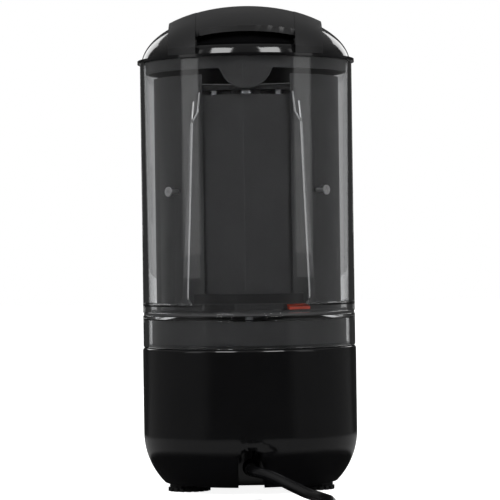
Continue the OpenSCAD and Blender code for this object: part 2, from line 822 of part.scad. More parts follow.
module button_bezel() color(steel) on_axis() difference() {
    toward_front(button_boss_y, button_z) cylinder(r = button_r + bezel_w, h = bezel_t);
    toward_front(button_boss_y - past, button_z)
        cylinder(r = button_r + 2 * rest_gap, h = bezel_t + 2 * past);
}

module switch_block() color(satin_black) on_axis() {
    translate([-switch_half_w, -well_y, button_z - switch_half_h])
        cube([2 * switch_half_w, switch_t, 2 * switch_half_h]);
    toward_front(well_y - seat_gap, button_z) cylinder(r = plunger_r, h = plunger_h + seat_gap);
}

// ---- Cord ----
relief_neck_r = 4.6;
relief_y = pocket_y + arch_wall;
cord_exit_y = relief_y + relief_l;
cord_r = cord_d / 2;
coil_turn_r = 6 * cord_d;
coil_x = -2;
coil_y = 296;

// Middle of the cord from the strain relief to the coil, relative to the axis.
cord_route = [
    [0, cord_exit_y, exit_z], [0, 63, 17.5], [-0.6, 69.2, 17.5], [-2.2, 75.3, 17.5], [-4.8, 81, 17.4],
    [-7.6, 85.2, 17.1], [-10.5, 88.5, 16.6], [-15, 93, 15.2], [-20, 98, 13.3], [-25, 103, 11.1],
    [-30, 108, 9], [-35, 113, 7], [-39, 117, 5.8], [-44.2, 123.5, 4.6], [-47.8, 130.3, 4],
    [-50, 137.7, 3.8], [-50.7, 145.3, 3.8], [-50.8, 160, 3.8], [-50.8, 180, 3.8],
    [-50.8, 200, 3.8], [-50.8, 220, 3.8], [-50.8, 240, 3.8], [-50.8, 258, 3.8],
    [-50.8, 272, 3.8]
];
cord_sides = 10;

function unit(v) = v / norm(v);
function route_tangent(i) = let (last = len(cord_route) - 1)
    i == 0 ? [0, 1, 0]
    : i == last ? unit(cord_route[last] - cord_route[last - 1])
    : unit(unit(cord_route[i + 1] - cord_route[i]) + unit(cord_route[i] - cord_route[i - 1]));
function cord_ring(i) = let (t = route_tangent(i), side = unit(cross(t, [0, 0, 1])), up = cross(side, t))
    [for (k = [0 : cord_sides - 1]) let (a = k * 360 / cord_sides)
        cord_route[i] + cord_r * (cos(a) * side + sin(a) * up)];

module power_cord() color(rubber_black) on_axis() {
    rings = len(cord_route);
    points = [for (i = [0 : rings - 1]) each cord_ring(i)];
    sides = [for (i = [0 : rings - 2], k = [0 : cord_sides - 1])
        let (a = i * cord_sides + k, b = i * cord_sides + (k + 1) % cord_sides)
        [a, a + cord_sides, b + cord_sides, b]];
    start = [for (k = [0 : cord_sides - 1]) k];
    end = [for (k = [cord_sides - 1 : -1 : 0]) (rings - 1) * cord_sides + k];
    polyhedron(points, concat(sides, [start, end]));
}

module cord_coil() color(rubber_black) on_axis() translate([coil_x, coil_y, 0])
    rotate_extrude() translate([coil_turn_r - cord_d, 0]) square([2 * cord_d, 2 * cord_d]);

relief_flange_w = 2;
relief_flange_t = 2.5;
relief_end_wall = 0.5;

module strain_relief() color(rubber_black) on_axis() translate([0, 0, exit_z])
    rotate([-90, 0, 0]) {
        translate([0, 0, pocket_y - relief_flange_t - seat_gap])
            cylinder(r = relief_neck_r + relief_flange_w, h = relief_flange_t);
        translate([0, 0, pocket_y - 2 * seat_gap])
            cylinder(r = relief_neck_r, h = arch_wall + 4 * seat_gap);
        translate([0, 0, relief_y + seat_gap])
            cylinder(r1 = relief_r, r2 = cord_r + relief_end_wall, h = relief_l - 2 * seat_gap);
    }

tie_w = 9;
tie_t = 1.2;

// The tie follows the coil's round, and is open below, where the coil lies on the table.
module cord_tie() color(rubber_black) on_axis() translate([coil_x, coil_y, 0]) intersection() {
    rotate_extrude() difference() {
        translate([coil_turn_r - cord_d - seat_gap - tie_t, 0])
            square([2 * (cord_d + seat_gap + tie_t), 2 * cord_d + seat_gap + tie_t]);
        translate([coil_turn_r - cord_d - seat_gap, -past])
            square([2 * (cord_d + seat_gap), 2 * cord_d + seat_gap + past]);
    }
    translate([-tie_w / 2, -2 * coil_turn_r, 0]) cube([tie_w, 2 * coil_turn_r, 3 * cord_d]);
}

plug_l = 34;
plug_half_h = 10;
plug_w = 27;
plug_round_r = 14.6;
plug_neck_l = 12;
plug_neck_r = 5.6;
plug_neck_wall = 0.6;
plug_from_coil = 28;
pin_r = 2;
pin_l = 19;
pin_spacing = 19;

module power_plug() color(rubber_black) on_axis()
    translate([coil_x + plug_from_coil, coil_y + coil_turn_r + cord_r, plug_half_h])
        rotate([0, 90, 0]) {
            cylinder(r1 = cord_r + plug_neck_wall, r2 = plug_neck_r, h = plug_neck_l);
            translate([0, 0, plug_neck_l - seat_gap]) linear_extrude(plug_l - plug_neck_l)
                intersection() {
                    square([2 * plug_half_h, plug_w], center = true);
                    circle(r = plug_round_r);
                }
            for (sy = [-1, 1])
                translate([0, sy * pin_spacing / 2, plug_l - merge]) cylinder(r = pin_r, h = pin_l);
        }

// ---- Juice path ----
ring_lip_t = 3;
ring_chamfer = 0.6;
ring_inner_r = shell_r - ring_wall;
lip_w = 2;
lip_r = tray_r - lip_w;
spout_wall = 2;
spout_gap_half_w = spout_half_w + spout_wall + 1;

module collector_ring() color(clear_plastic) on_axis() difference() {
    rotate_extrude() polygon([
        [ring_inner_r, base_top_z], [shell_r - ring_chamfer, base_top_z],
        [shell_r, base_top_z + ring_chamfer], [shell_r, ring_top_z - ring_chamfer],
        [shell_r - ring_chamfer, ring_top_z], [lip_r, ring_top_z],
        [lip_r, ring_top_z - ring_lip_t], [ring_inner_r, ring_top_z - ring_lip_t]
    ]);
    translate([-spout_gap_half_w, -shell_r - past, base_top_z - past])
        cube([2 * spout_gap_half_w, shell_r - tray_r + 5 * past,
              duct_top_z + duct_gap - base_top_z + past]);
}

tray_rim_gap = 1;
tray_rim_z = ring_top_z - ring_lip_t - tray_rim_gap;
tray_floor_top = base_top_z + tray_wall;
hub_r = 12.5;
hub_top_z = tower_floor_top;
hub_bore_gap = 0.9;
well_inner_r = coupler_r + coupler_gap;
pivot_rise = 7;
pivot_z = base_top_z + pivot_rise;
duct_side_gap = 0.4;
duct_gap = 1.5;
duct_half_w = spout_half_w - duct_side_gap;
duct_wall = 2;
duct_floor_t = 0.9;
duct_nose = 2.5;
duct_low_z = base_top_z + register_h + seat_gap;
duct_top_z = pivot_z + 6;
pivot_pin_r = 1.5;

module juice_tray() color(dark_grey) on_axis() difference() {
    union() {
        difference() {
            translate([0, 0, base_top_z]) cylinder(r = tray_r, h = tray_rim_z - base_top_z);
            translate([0, 0, tray_floor_top]) cylinder(r = tray_r - tray_wall, h = tray_rim_z);
        }
        translate([0, 0, base_top_z]) cylinder(r = hub_r, h = hub_top_z - base_top_z);
        translate([0, screw_y, base_top_z])
            cylinder(r = well_inner_r + tray_wall, h = tray_rim_z - base_top_z);
    }
    translate([0, 0, base_top_z - past])
        cylinder(r = bush_flange_r + hub_bore_gap, h = hub_top_z - base_top_z + 2 * past);
    translate([0, screw_y, base_top_z - past])
        cylinder(r = well_inner_r, h = tray_rim_z - base_top_z + 2 * past);
    translate([-duct_half_w - seat_gap, -tray_r - past, duct_low_z - seat_gap])
        cube([2 * (duct_half_w + seat_gap), tray_wall + 3 * past, duct_top_z - duct_low_z + 2 * seat_gap]);
}

// The duct leads the juice out through the tray's wall, and the spout turns on its pins.
module juice_duct() color(dark_grey) on_axis() difference() {
    union() {
        translate([-duct_half_w, -pivot_y - duct_nose, duct_low_z])
            cube([2 * duct_half_w, pivot_y + duct_nose - tray_r + tray_wall, duct_top_z - duct_low_z]);
        translate([-spout_half_w - spout_wall, -pivot_y, pivot_z]) rotate([0, 90, 0])
            cylinder(r = pivot_pin_r, h = 2 * (spout_half_w + spout_wall));
    }
    translate([-duct_half_w + duct_wall, -pivot_y - duct_nose - past, duct_low_z + duct_floor_t])
        cube([2 * (duct_half_w - duct_wall), pivot_y + duct_nose - tray_r + tray_wall + 2 * past,
              duct_top_z]);
}

spout_end_drop = 3;
spout_drop = 7;
spout_rear = 2;
spout_rim = 3.6;
spout_flat = 5;

module spout() color(dark_grey) on_axis() difference() {
    translate([spout_half_w + spout_wall, 0, 0]) rotate([0, -90, 0])
        linear_extrude(2 * (spout_half_w + spout_wall)) polygon([
            [pivot_z - spout_drop - spout_wall, -pivot_y + spout_rear],
            [pivot_z + spout_rim, -pivot_y + spout_rear],
            [pivot_z + spout_rim, -pivot_y - spout_flat],
            [pivot_z - spout_end_drop, -spout_reach],
            [pivot_z - spout_drop - spout_wall, -spout_reach + spout_wall]
        ]);
    translate([-spout_half_w, -spout_reach - past, pivot_z - spout_drop])
        cube([2 * spout_half_w, spout_reach - pivot_y + spout_rear + 2 * past,
              spout_drop + spout_rim + past]);
    translate([-spout_half_w - spout_wall - past, -pivot_y, pivot_z]) rotate([0, 90, 0])
        cylinder(r = pivot_pin_r + running_fit, h = 2 * (spout_half_w + spout_wall + past));
}

strainer_gap = 0.6;
strainer_r = bay_r - strainer_gap;
strainer_step = 2.8;
strainer_hole_r = bay_r - strainer_step;
strainer_rim_gap = 3.2;
strainer_rim_r = hub_r + strainer_rim_gap;
strainer_t = 1.4;
strainer_rim_h = 1.6;
strainer_dip = 5.4;
strainer_slope_top = 0.8;
strainer_slope_foot = 2;
strainer_slope_edge = 1.2;
outer_slot_inset = 13.2;
outer_slot_r = strainer_hole_r - outer_slot_inset;
outer_slot_l = 9.5;
outer_slot_w = 2;
inner_slot_inset = 4.3;
slot_row_gap = 2.5;
inner_slot_r = strainer_rim_r + inner_slot_inset;
inner_slot_l = outer_slot_r - inner_slot_r - slot_row_gap;
inner_slot_w = 1.5;

module strainer() color(satin_black) on_axis() difference() {
    rotate_extrude() translate([0, tower_floor_top]) polygon([
        [strainer_r, 0], [strainer_r, strainer_t],
        [strainer_hole_r - strainer_t - strainer_slope_top, strainer_t],
        [strainer_rim_r + strainer_t, strainer_t - strainer_dip],
        [strainer_rim_r + strainer_t, strainer_rim_h],
        [strainer_rim_r, strainer_rim_h], [strainer_rim_r, -strainer_dip],
        [strainer_rim_r + strainer_slope_foot, -strainer_dip],
        [strainer_hole_r - strainer_slope_edge, 0]
    ]);
    for (i = [0 : strainer_slots - 1]) rotate([0, 0, i * 360 / strainer_slots]) {
        strainer_slot(outer_slot_r, outer_slot_l, outer_slot_w);
        rotate([0, 0, 180 / strainer_slots])
            strainer_slot(inner_slot_r, inner_slot_l, inner_slot_w);
    }
}

module strainer_slot(r, l, w) {
    translate([r, -w / 2, tower_floor_top - strainer_dip - past])
        cube([l, w, strainer_dip + strainer_t + 2 * past]);
}

hub_cap_gap = 0.7;
skirt_inner_r = hub_r + hub_cap_gap;
skirt_wall = 1.7;
skirt_drop = 6;
brim_t = 2.4;
brim_sink = 1.6;
fin_t = 2.6;
// Outlines of the cone and of a ridge, as shares of the reamer's radius and height
cone_profile = [[0.765, 0], [0.735, 0.09], [0.618, 0.32], [0.47, 0.59], [0.294, 0.84],
                [0.147, 0.91], [0, 1]];
fin_profile = [[0.88, 0], [0.87, 0.115], [0.78, 0.34], [0.632, 0.59], [0.426, 0.82],
               [0.206, 0.966], [0, 1.02]];

module reamer_outline(profile) {
    polygon(concat([[0, 0]], [for (p = profile) [p[0] * reamer_r, p[1] * reamer_h]]));
}

module reamer_fin() {
    rotate([90, 0, 0]) translate([0, 0, -fin_t / 2]) linear_extrude(fin_t) reamer_outline(fin_profile);
}

module reamer() color(dark_grey) on_axis() difference() {
    union() {
        translate([0, 0, reamer_z]) {
            rotate_extrude() reamer_outline(cone_profile);
            for (i = [0 : reamer_ridges - 1]) rotate([0, 0, i * 360 / reamer_ridges]) reamer_fin();
        }
        translate([0, 0, reamer_z - brim_sink]) cylinder(r = reamer_r, h = brim_t);
        translate([0, 0, tower_floor_top - skirt_drop])
            cylinder(r = skirt_inner_r + skirt_wall,
                     h = reamer_z - brim_sink + skirt_drop - tower_floor_top);
    }
    translate([0, 0, tower_floor_top - skirt_drop - past])
        cylinder(r = skirt_inner_r, h = reamer_z - brim_sink + skirt_drop - tower_floor_top);
    translate([0, 0, reamer_z - brim_sink - past]) cylinder(r = shaft_r + past, h = brim_sink + past);
    translate([0, 0, reamer_z - brim_sink - past])
        cylinder(r = hex_r + hex_gap, h = hex_l + brim_sink + 3 * past, $fn = 6);
}

// ---- Press tower ----
bay_wall = tower_wall;
slot_half_w = 10;
slot_reach = 9;
slot_drop = 6;
cover_r = tower_r - tower_wall - seat_gap;
cover_t = 2.2;
cover_lap = 3.4;
cover_foot_lap = 5;
cover_side_lap = 6;
cover_side_y = screw_y - cover_side_lap;
floor_edge_gap = 0.4;
floor_flange_gap = 0.5;
side_boss_r = 4;
side_boss_l = 7;
side_shank_r = 1.6;
rod_seat_gap = 0.1;

module bay_plan(r) {
    circle(r = r);
    translate([-r, -tower_r - past]) square([2 * r, tower_r + past]);
}

module press_tower() color(dark_grey) on_axis() difference() {
    union() {
        translate([0, 0, tower_floor_z]) cylinder(r = shell_foot_r - floor_edge_gap, h = floor_t);
        translate([0, 0, tower_floor_z]) cylinder(r = shell_r - floor_flange_gap, h = shell_seat_t);
        translate([0, 0, tower_floor_top - merge])
            linear_extrude(bay_top_z - tower_floor_top + merge)
            difference() {
                union() {
                    difference() {
                        circle(r = tower_r);
                        circle(r = tower_r - tower_wall);
                    }
                    intersection() {
                        circle(r = tower_r);
                        bay_plan(bay_r + bay_wall);
                    }
                }
                bay_plan(bay_r);
            }
        translate([0, 0, bay_top_z - merge]) difference() {
            cylinder(r = tower_r, h = tower_top_z - bay_top_z + merge);
            translate([0, 0, -past]) cylinder(r = tower_r - tower_wall, h = tower_top_z);
        }
        for (side = [-1, 1]) at_side_screw(side, tower_r - tower_wall / 2)
            cylinder(r = side_boss_r, h = side_boss_l);
    }
    translate([0, 0, tower_floor_z - past]) cylinder(r = strainer_hole_r, h = floor_t + 2 * past);
    translate([-window_half_w, screw_y, window_z])
        cube([2 * window_half_w, tower_r, tower_top_z - window_z + past]);
    translate([-slot_half_w, bay_r - slot_reach, carriage_z - press_travel - slot_drop])
        cube([2 * slot_half_w, screw_gap + slot_reach,
              bay_top_z - carriage_z + press_travel + slot_drop + past]);
    translate([0, screw_y, tower_floor_z - past])
        cylinder(r = screw_r + moving_gap + seat_gap, h = floor_t + 2 * past);
    for (side = [-1, 1]) {
        translate([side * rod_x, rod_y, tower_floor_top - rod_seat_depth - rod_seat_gap])
            cylinder(r = rod_r + running_fit, h = rod_seat_depth + rod_seat_gap + past);
        at_side_screw(side, tower_r + past)
            cylinder(r = side_shank_r + seat_gap, h = side_boss_l + tower_wall + 2 * past);
    }
}

// Puts its children on the line of a side screw, at a distance from the axis, pointing inward.
module at_side_screw(side, distance) {
    rotate([0, 0, 180 + side * side_screw_angle]) translate([0, -distance, side_screw_z])
        rotate([-90, 0, 0]) children();
}

module tower_top_plate() color(satin_black) on_axis() difference() {
    translate([0, 0, bay_top_z]) cylinder(r = tower_r - tower_wall - seat_gap, h = top_plate_t);
    translate([0, screw_y, bay_top_z - past])
        cylinder(r = bush_small_r + running_fit, h = top_plate_t + 2 * past);
    for (side = [-1, 1])
        translate([side * rod_x, rod_y, bay_top_z - past])
            cylinder(r = rod_r + running_fit, h = top_plate_t + 2 * past);
}

module column_cover() color(dark_grey) on_axis() intersection() {
    translate([0, 0, window_z - cover_foot_lap]) difference() {
        cylinder(r = cover_r, h = cover_top_z - window_z + cover_foot_lap);
        translate([0, 0, -past]) cylinder(r = cover_r - cover_t, h = cover_top_z);
    }
    translate([-window_half_w - cover_lap, cover_side_y, 0])
        cube([2 * (window_half_w + cover_lap), tower_r, tower_top_z]);
}

latch_angle = 29.7;
latch_half_angle = 6.6;
latch_t = 1.8;
latch_gap = 0.6;

module sector_plan(r0, r1, from, to) {
    middle = (from + to) / 2;
    intersection() {
        difference() {
            circle(r = r1);
            circle(r = r0);
        }
        polygon([
            [0, 0], 3 * r1 * [sin(from), -cos(from)],
            3 * r1 * [sin(middle), -cos(middle)], 3 * r1 * [sin(to), -cos(to)]
        ]);
    }
}

module sector(r0, r1, from, to, z, h) {
    translate([0, 0, z]) linear_extrude(h) sector_plan(r0, r1, from, to);
}

module latch_tab() color(latch_red) on_axis()
    sector(tower_r + rest_gap, shell_foot_r - latch_gap, 180 + latch_angle - latch_half_angle,
           180 + latch_angle + latch_half_angle, tower_floor_top + rest_gap, latch_t);

// ---- Press head ----
carriage_drop = 3.4;
carriage_z = bay_top_z - carriage_drop - carriage_h;
carriage_r0 = bay_r + bay_wall + moving_gap + seat_gap;
carriage_r1 = cover_r - cover_t - moving_gap - 2 * seat_gap;
rod_sleeve_wall = 2;
carriage_half_w = rod_x + rod_r + rod_sleeve_wall;
carriage_reach = 17;
carriage_y0 = bay_r - carriage_reach;
tongue_reach = 9;
arm_t = 10;
arm_half_w = 7;
arm_hub_r = 12;
arm_z = carriage_z + carriage_h - arm_t;
nut_r = 4.4;
cup_shank_r = 2.5;
cup_head_r = 4.6;
cup_head_t = 2.5;
cup_head_sink = 3;
cup_grip_l = 4;
cup_skirt = 4;
cup_arm_gap = 0.6;
cup_apex_z = arm_z - cup_arm_gap;
cup_rim_z = cup_apex_z - cup_skirt - cup_r;
press_travel = cup_rim_z - tower_floor_top - cup_stop_h;
cup_boss_r = 5.5;
cup_boss_l = 8.4;
cup_boss_z = cup_apex_z - cup_boss_l;
cup_floor_t = 1.6;
cup_hub_r = 10;
cup_hub_sink = 6;
cup_rib_l = 3;
cup_rib_w = 2;
cup_rib_h = 26;

module press_carriage() color(satin_black) on_axis() difference() {
    union() {
        intersection() {
            translate([0, 0, carriage_z]) difference() {
                cylinder(r = carriage_r1, h = carriage_h);
                translate([0, 0, -past]) cylinder(r = carriage_r0, h = carriage_h + 2 * past);
            }
            translate([-carriage_half_w, carriage_y0, 0])
                cube([2 * carriage_half_w, tower_r - carriage_y0, tower_top_z]);
        }
        translate([-slot_half_w + 2 * moving_gap, bay_r - tongue_reach, carriage_z])
            cube([2 * (slot_half_w - 2 * moving_gap), screw_gap + tongue_reach, carriage_h]);
        translate([-arm_half_w, 0, arm_z]) cube([2 * arm_half_w, bay_r, arm_t]);
        translate([0, 0, arm_z]) cylinder(r = arm_hub_r, h = arm_t);
    }
    carriage_bore([0, screw_y], nut_r);
    for (side = [-1, 1]) carriage_bore([side * rod_x, rod_y], rod_r);
    translate([0, 0, arm_z - past])
        cylinder(r = cup_shank_r + screw_hole_gap, h = arm_t + 2 * past);
    translate([0, 0, arm_z + arm_t - cup_head_sink])
        cylinder(r = cup_head_r + 2 * screw_hole_gap, h = cup_head_sink + past);
}

module carriage_bore(spot, r) {
    translate([spot[0], spot[1], carriage_z - past])
        cylinder(r = r + running_fit, h = carriage_h + 2 * past);
}

module lead_nut() color(brass) on_axis() translate([0, screw_y, carriage_z]) difference() {
    cylinder(r = nut_r, h = carriage_h);
    translate([0, 0, -past]) cylinder(r = screw_r + running_fit, h = carriage_h + 2 * past);
}

module cup_screw() color(steel) on_axis()
    translate([0, 0, arm_z + arm_t - cup_head_sink + cup_head_t + seat_gap]) rotate([180, 0, 0])
        pan_screw(cup_head_r, cup_head_t, cup_shank_r, arm_t + cup_grip_l);

cup_ribs = 8;

module dome_outline(r) {
    intersection() {
        union() {
            translate([0, cup_skirt]) circle(r = r);
            square([r, cup_skirt]);
        }
        square([r, r + cup_skirt]);
    }
}

module press_cup() color(satin_black) on_axis() difference() {
    union() {
        translate([0, 0, cup_rim_z]) rotate_extrude() difference() {
            dome_outline(cup_r);
            translate([0, -0.01]) dome_outline(cup_r - cup_wall);
        }
        translate([0, 0, cup_apex_z - cup_hub_sink])
            cylinder(r = cup_hub_r, h = arm_z - cup_apex_z + cup_hub_sink);
        translate([0, 0, cup_boss_z]) cylinder(r = cup_boss_r, h = cup_hub_sink);
        translate([0, 0, cup_rim_z]) intersection() {
            rotate_extrude() dome_outline(cup_r - cup_wall / 2);
            for (i = [0 : cup_ribs - 1]) rotate([0, 0, i * 360 / cup_ribs])
                translate([cup_r - cup_wall - cup_rib_l, -cup_rib_w / 2, cup_rib_w])
                    cube([2 * cup_rib_l, cup_rib_w, cup_rib_h]);
        }
    }
    translate([0, 0, cup_boss_z + cup_floor_t])
        cylinder(r = cup_shank_r + running_fit, h = arm_z - cup_boss_z);
}

// ---- Clear chamber ----
shell_foot_w = 1.3;
shell_foot_r = shell_r - shell_wall_foot - shell_foot_w;
shell_foot_h = 4.6;
shell_foot_taper = 2.5;
shell_edge = 0.6;
rib_sink = 1.5;
rib_gap = 0.6;
side_head_r = 3.3;
side_head_t = 1.6;
side_head_sink = 1.2;
side_screw_l = 13;
side_post_r = 4.5;
hinge_inset = 2.6;
hinge_r = shell_r - hinge_inset;
hinge_post_r = 3.2;
hinge_post_h = 6;
knuckle_r = 2.2;
hinge_pin_r = 1.2;
hinge_pin_l = 10.2;
hinge_pin_depth = 4.6;
hinge_angle = -door_half_angle;
door_gap = 0.4;
door_gap_angle = 0.4;
door_t = 3.3;
door_r1 = shell_r - seat_gap;
door_r0 = door_r1 - door_t;
hinge_gap_angle = asin((door_r1 - hinge_r + 2 * moving_gap) / hinge_r);
door_start_angle = hinge_angle + asin((hinge_pin_r + moving_gap) / hinge_r);
jamb_angle = hinge_angle - hinge_gap_angle;

// A rib and its fork, seen from behind, with x and z from the middle of the fork. The rib's
// foot spreads over the chamber's foot, and the fork's outer tine is the longer one.
short_tine = [[-0.9, -2], [0.9, -2], [-0.6, 12.7], [-2, 12.7]];
long_tine = [[-0.9, -2], [0.3, -1], [-3.4, 5.4], [-4.8, 18.8], [-6.2, 18.8], [-4.9, 5.2]];
rib_toe_in = 2.5;
rib_toe_out = 3.5;
rib_toe_h = 6;

module rib_plan() {
    foot_z = shell_z + shell_foot_h + past;
    foot_x0 = rib_foot_x - rib_foot_w / 2;
    foot_x1 = rib_foot_x + rib_foot_w / 2;
    polygon([
        [foot_x0, foot_z], [foot_x1, foot_z], [rib_fork_x + rib_fork_w / 2, rib_fork_z],
        [rib_fork_x - rib_fork_w / 2, rib_fork_z]
    ]);
    polygon([
        [foot_x0 - rib_toe_in, foot_z], [foot_x1 + rib_toe_out, foot_z],
        [foot_x1, foot_z + rib_toe_h], [foot_x0, foot_z + rib_toe_h]
    ]);
    translate([rib_fork_x, rib_fork_z]) {
        polygon(short_tine);
        polygon(long_tine);
    }
}

module chamber_shell() color(clear_plastic) on_axis() difference() {
    union() {
        rotate_extrude() polygon([
            [shell_foot_r, shell_z], [shell_r - shell_edge, shell_z],
            [shell_r, shell_z + shell_edge], [shell_r, shell_top_z - shell_edge],
            [shell_r - shell_edge, shell_top_z], [shell_r - shell_wall_top, shell_top_z],
            [shell_r - shell_wall_foot, shell_z + shell_foot_h + shell_foot_taper],
            [shell_foot_r, shell_z + shell_foot_h]
        ]);
        intersection() {
            difference() {
                cylinder(r = shell_r - rib_sink, h = shell_top_z);
                translate([0, 0, -past]) cylinder(r = tower_r + rib_gap, h = shell_top_z + 2 * past);
            }
            for (side = [0, 1]) mirror([side, 0, 0])
                translate([0, shell_r, 0]) rotate([90, 0, 0]) linear_extrude(shell_r) rib_plan();
        }
        for (side = [-1, 1]) at_side_screw(side, shell_r - rib_sink)
            cylinder(r = side_post_r, h = shell_r - rib_sink - tower_r - floor_edge_gap);
        intersection() {
            cylinder(r = shell_r, h = shell_top_z);
            for (z = [door_z - hinge_post_h, door_top_z])
                at_front(hinge_angle, hinge_r, z) cylinder(r = hinge_post_r, h = hinge_post_h);
        }
    }
    translate([0, 0, door_z]) linear_extrude(door_h) polygon([
        [0, 0], 2 * shell_r * [sin(jamb_angle), -cos(jamb_angle)], [0, -3 * shell_r],
        2 * shell_r * [sin(door_half_angle + door_gap_angle), -cos(door_half_angle + door_gap_angle)]
    ]);
    at_front(hinge_angle, hinge_r, door_z - hinge_pin_depth - door_gap)
        cylinder(r = hinge_pin_r + running_fit, h = door_h + 2 * (hinge_pin_depth + door_gap));
    for (side = [-1, 1]) at_side_screw(side, shell_r + past) {
        cylinder(r = side_shank_r + seat_gap, h = shell_r - tower_r + 6 * past);
        cylinder(r = side_head_r + floor_edge_gap, h = side_head_sink + past);
    }
}

module shell_screws() color(steel) on_axis()
    for (side = [-1, 1]) at_side_screw(side, shell_r + side_head_t - side_head_sink)
        pan_screw(side_head_r, side_head_t, side_shank_r, side_screw_l);

module door_panel() color(clear_plastic) on_axis() difference() {
    translate([0, 0, door_z + door_gap]) linear_extrude(door_h - 2 * door_gap) {
        sector_plan(door_r0, door_r1, door_start_angle, door_half_angle);
        rotate(hinge_angle) translate([0, -hinge_r]) circle(r = knuckle_r);
    }
    for (z = [door_z, door_top_z - hinge_post_h])
        at_front(hinge_angle, hinge_r, z) cylinder(r = hinge_pin_r + running_fit, h = hinge_post_h);
}

module door_pins() color(steel) on_axis()
    for (z = [door_z - hinge_pin_depth, door_top_z + hinge_pin_depth - hinge_pin_l])
        at_front(hinge_angle, hinge_r, z) cylinder(r = hinge_pin_r, h = hinge_pin_l);

handle_inset = 9;
handle_angle = door_half_angle - handle_inset;
handle_half_angle = 5;
handle_h = 44;
handle_lift = 6;
handle_z = (door_z + door_top_z - handle_h) / 2 + handle_lift;
handle_plate_t = 1.8;
handle_reach = 8;
handle_blade_t = 4;
handle_margin = 3;
handle_end_inset = 2;

module door_handle() color(satin_black) on_axis() {
    sector(door_r1 + seat_gap, door_r1 + handle_plate_t, handle_angle - handle_half_angle,
           handle_angle + handle_half_angle, handle_z, handle_h);
    intersection() {
        at_front(handle_angle, 0, handle_z + handle_h / 2) rotate([90, 0, 0])
            linear_extrude(2 * door_r1) intersection() {
                square([handle_blade_t, handle_h - 2 * handle_margin], center = true);
                circle(r = handle_h / 2 - handle_end_inset);
            }
        difference() {
            cylinder(r = door_r1 + handle_reach, h = shell_top_z);
            cylinder(r = door_r1 + handle_plate_t / 2, h = shell_top_z);
        }
    }
}

// ---- Lid ----
ellipse_steps = 28;

module dome_solid(grow, low) {
    r = dome_r + grow;
    h = dome_h + grow;
    first = asin(max(low - dome_z, 0) / h);
    rotate_extrude() polygon(concat(
        [[0, low]],
        [for (i = [0 : ellipse_steps]) let (a = first + (90 - first) * i / ellipse_steps)
            [i == ellipse_steps ? 0 : r * cos(a), dome_z + h * sin(a)]]
    ));
}

scoop_reach = 10;
scoop_y = grip_half_l + scoop_reach;
scoop_z = lid_z + scoop_rise;
scoop_margin = 1;
lid_lip_gap = 0.2;
lid_lip_h = 0.5;
band_edge_gap = 0.8;

// The scoops follow the dome round, in the strip between the two side bands.
module scoops(grow, half_w) {
    intersection() {
        rotate_extrude() translate([scoop_y, scoop_z]) circle(r = scoop_r + grow);
        translate([-half_w, -2 * dome_r, lid_z]) cube([2 * half_w, 4 * dome_r, 2 * dome_h]);
    }
}

module lid_dome() color(gloss_black) on_axis() difference() {
    union() {
        difference() {
            union() {
                translate([0, 0, lid_z]) cylinder(r = lid_flange_r, h = lid_flange_t);
                dome_solid(0, lid_z);
            }
            dome_solid(-dome_wall, lid_z);
            translate([0, 0, lid_z - past])
                cylinder(r = dome_r - dome_wall - lid_lip_gap, h = lid_lip_h + past);
        }
        intersection() {
            dome_solid(-dome_wall / 2, lid_z + lid_flange_t + past);
            scoops(dome_wall, band_x0 + dome_wall - scoop_margin);
        }
    }
    scoops(0, band_x0 - scoop_margin);
}

module band(side) color(satin_black) on_axis() intersection() {
    difference() {
        dome_solid(band_rise, lid_z + lid_flange_t + 2 * seat_gap);
        dome_solid(2 * seat_gap, lid_z);
    }
    translate([side > 0 ? band_x0 : -band_x1, -lid_flange_r, lid_z])
        cube([band_x1 - band_x0, 2 * lid_flange_r, 2 * dome_h]);
    translate([0, 0, lid_z]) cylinder(r = lid_flange_r - band_edge_gap, h = 2 * dome_h);
}

module lid_band_left() band(-1);
module lid_band_right() band(1);

grip_end_r = 96.5;

module lid_grip() color(satin_black) on_axis() intersection() {
    difference() {
        dome_solid(grip_rise, lid_z);
        dome_solid(2 * seat_gap, lid_z);
    }
    translate([-band_x0 + seat_gap, -dome_r, lid_z])
        cube([2 * (band_x0 - seat_gap), 2 * dome_r, 2 * dome_h]);
    translate([0, grip_half_l - grip_end_r, lid_z]) cylinder(r = grip_end_r, h = 2 * dome_h);
    translate([0, grip_end_r - grip_half_l, lid_z]) cylinder(r = grip_end_r, h = 2 * dome_h);
}

skirt_gap = 0.7;
skirt_r = dome_r - dome_wall - skirt_gap;
skirt_t = 1.8;
skirt_z = lid_z - skirt_h;
skirt_lap = 2;
tongue_drop = 22;
tongue_z = lid_z + tongue_r - tongue_drop;

module lid_skirt() color(dark_grey) on_axis() difference() {
    union() {
        translate([0, 0, skirt_z]) cylinder(r = skirt_r, h = skirt_h + skirt_lap);
        intersection() {
            translate([0, 0, lid_z - 2 * tongue_drop]) cylinder(r = skirt_r, h = 2 * tongue_drop - past);
            translate([0, 2 * skirt_r, tongue_z]) rotate([90, 0, 0])
                cylinder(r = tongue_r, h = 2 * skirt_r);
        }
    }
    translate([0, 0, lid_z - 2 * tongue_drop - past])
        cylinder(r = skirt_r - skirt_t, h = 2 * tongue_drop + skirt_lap + 2 * past);
}

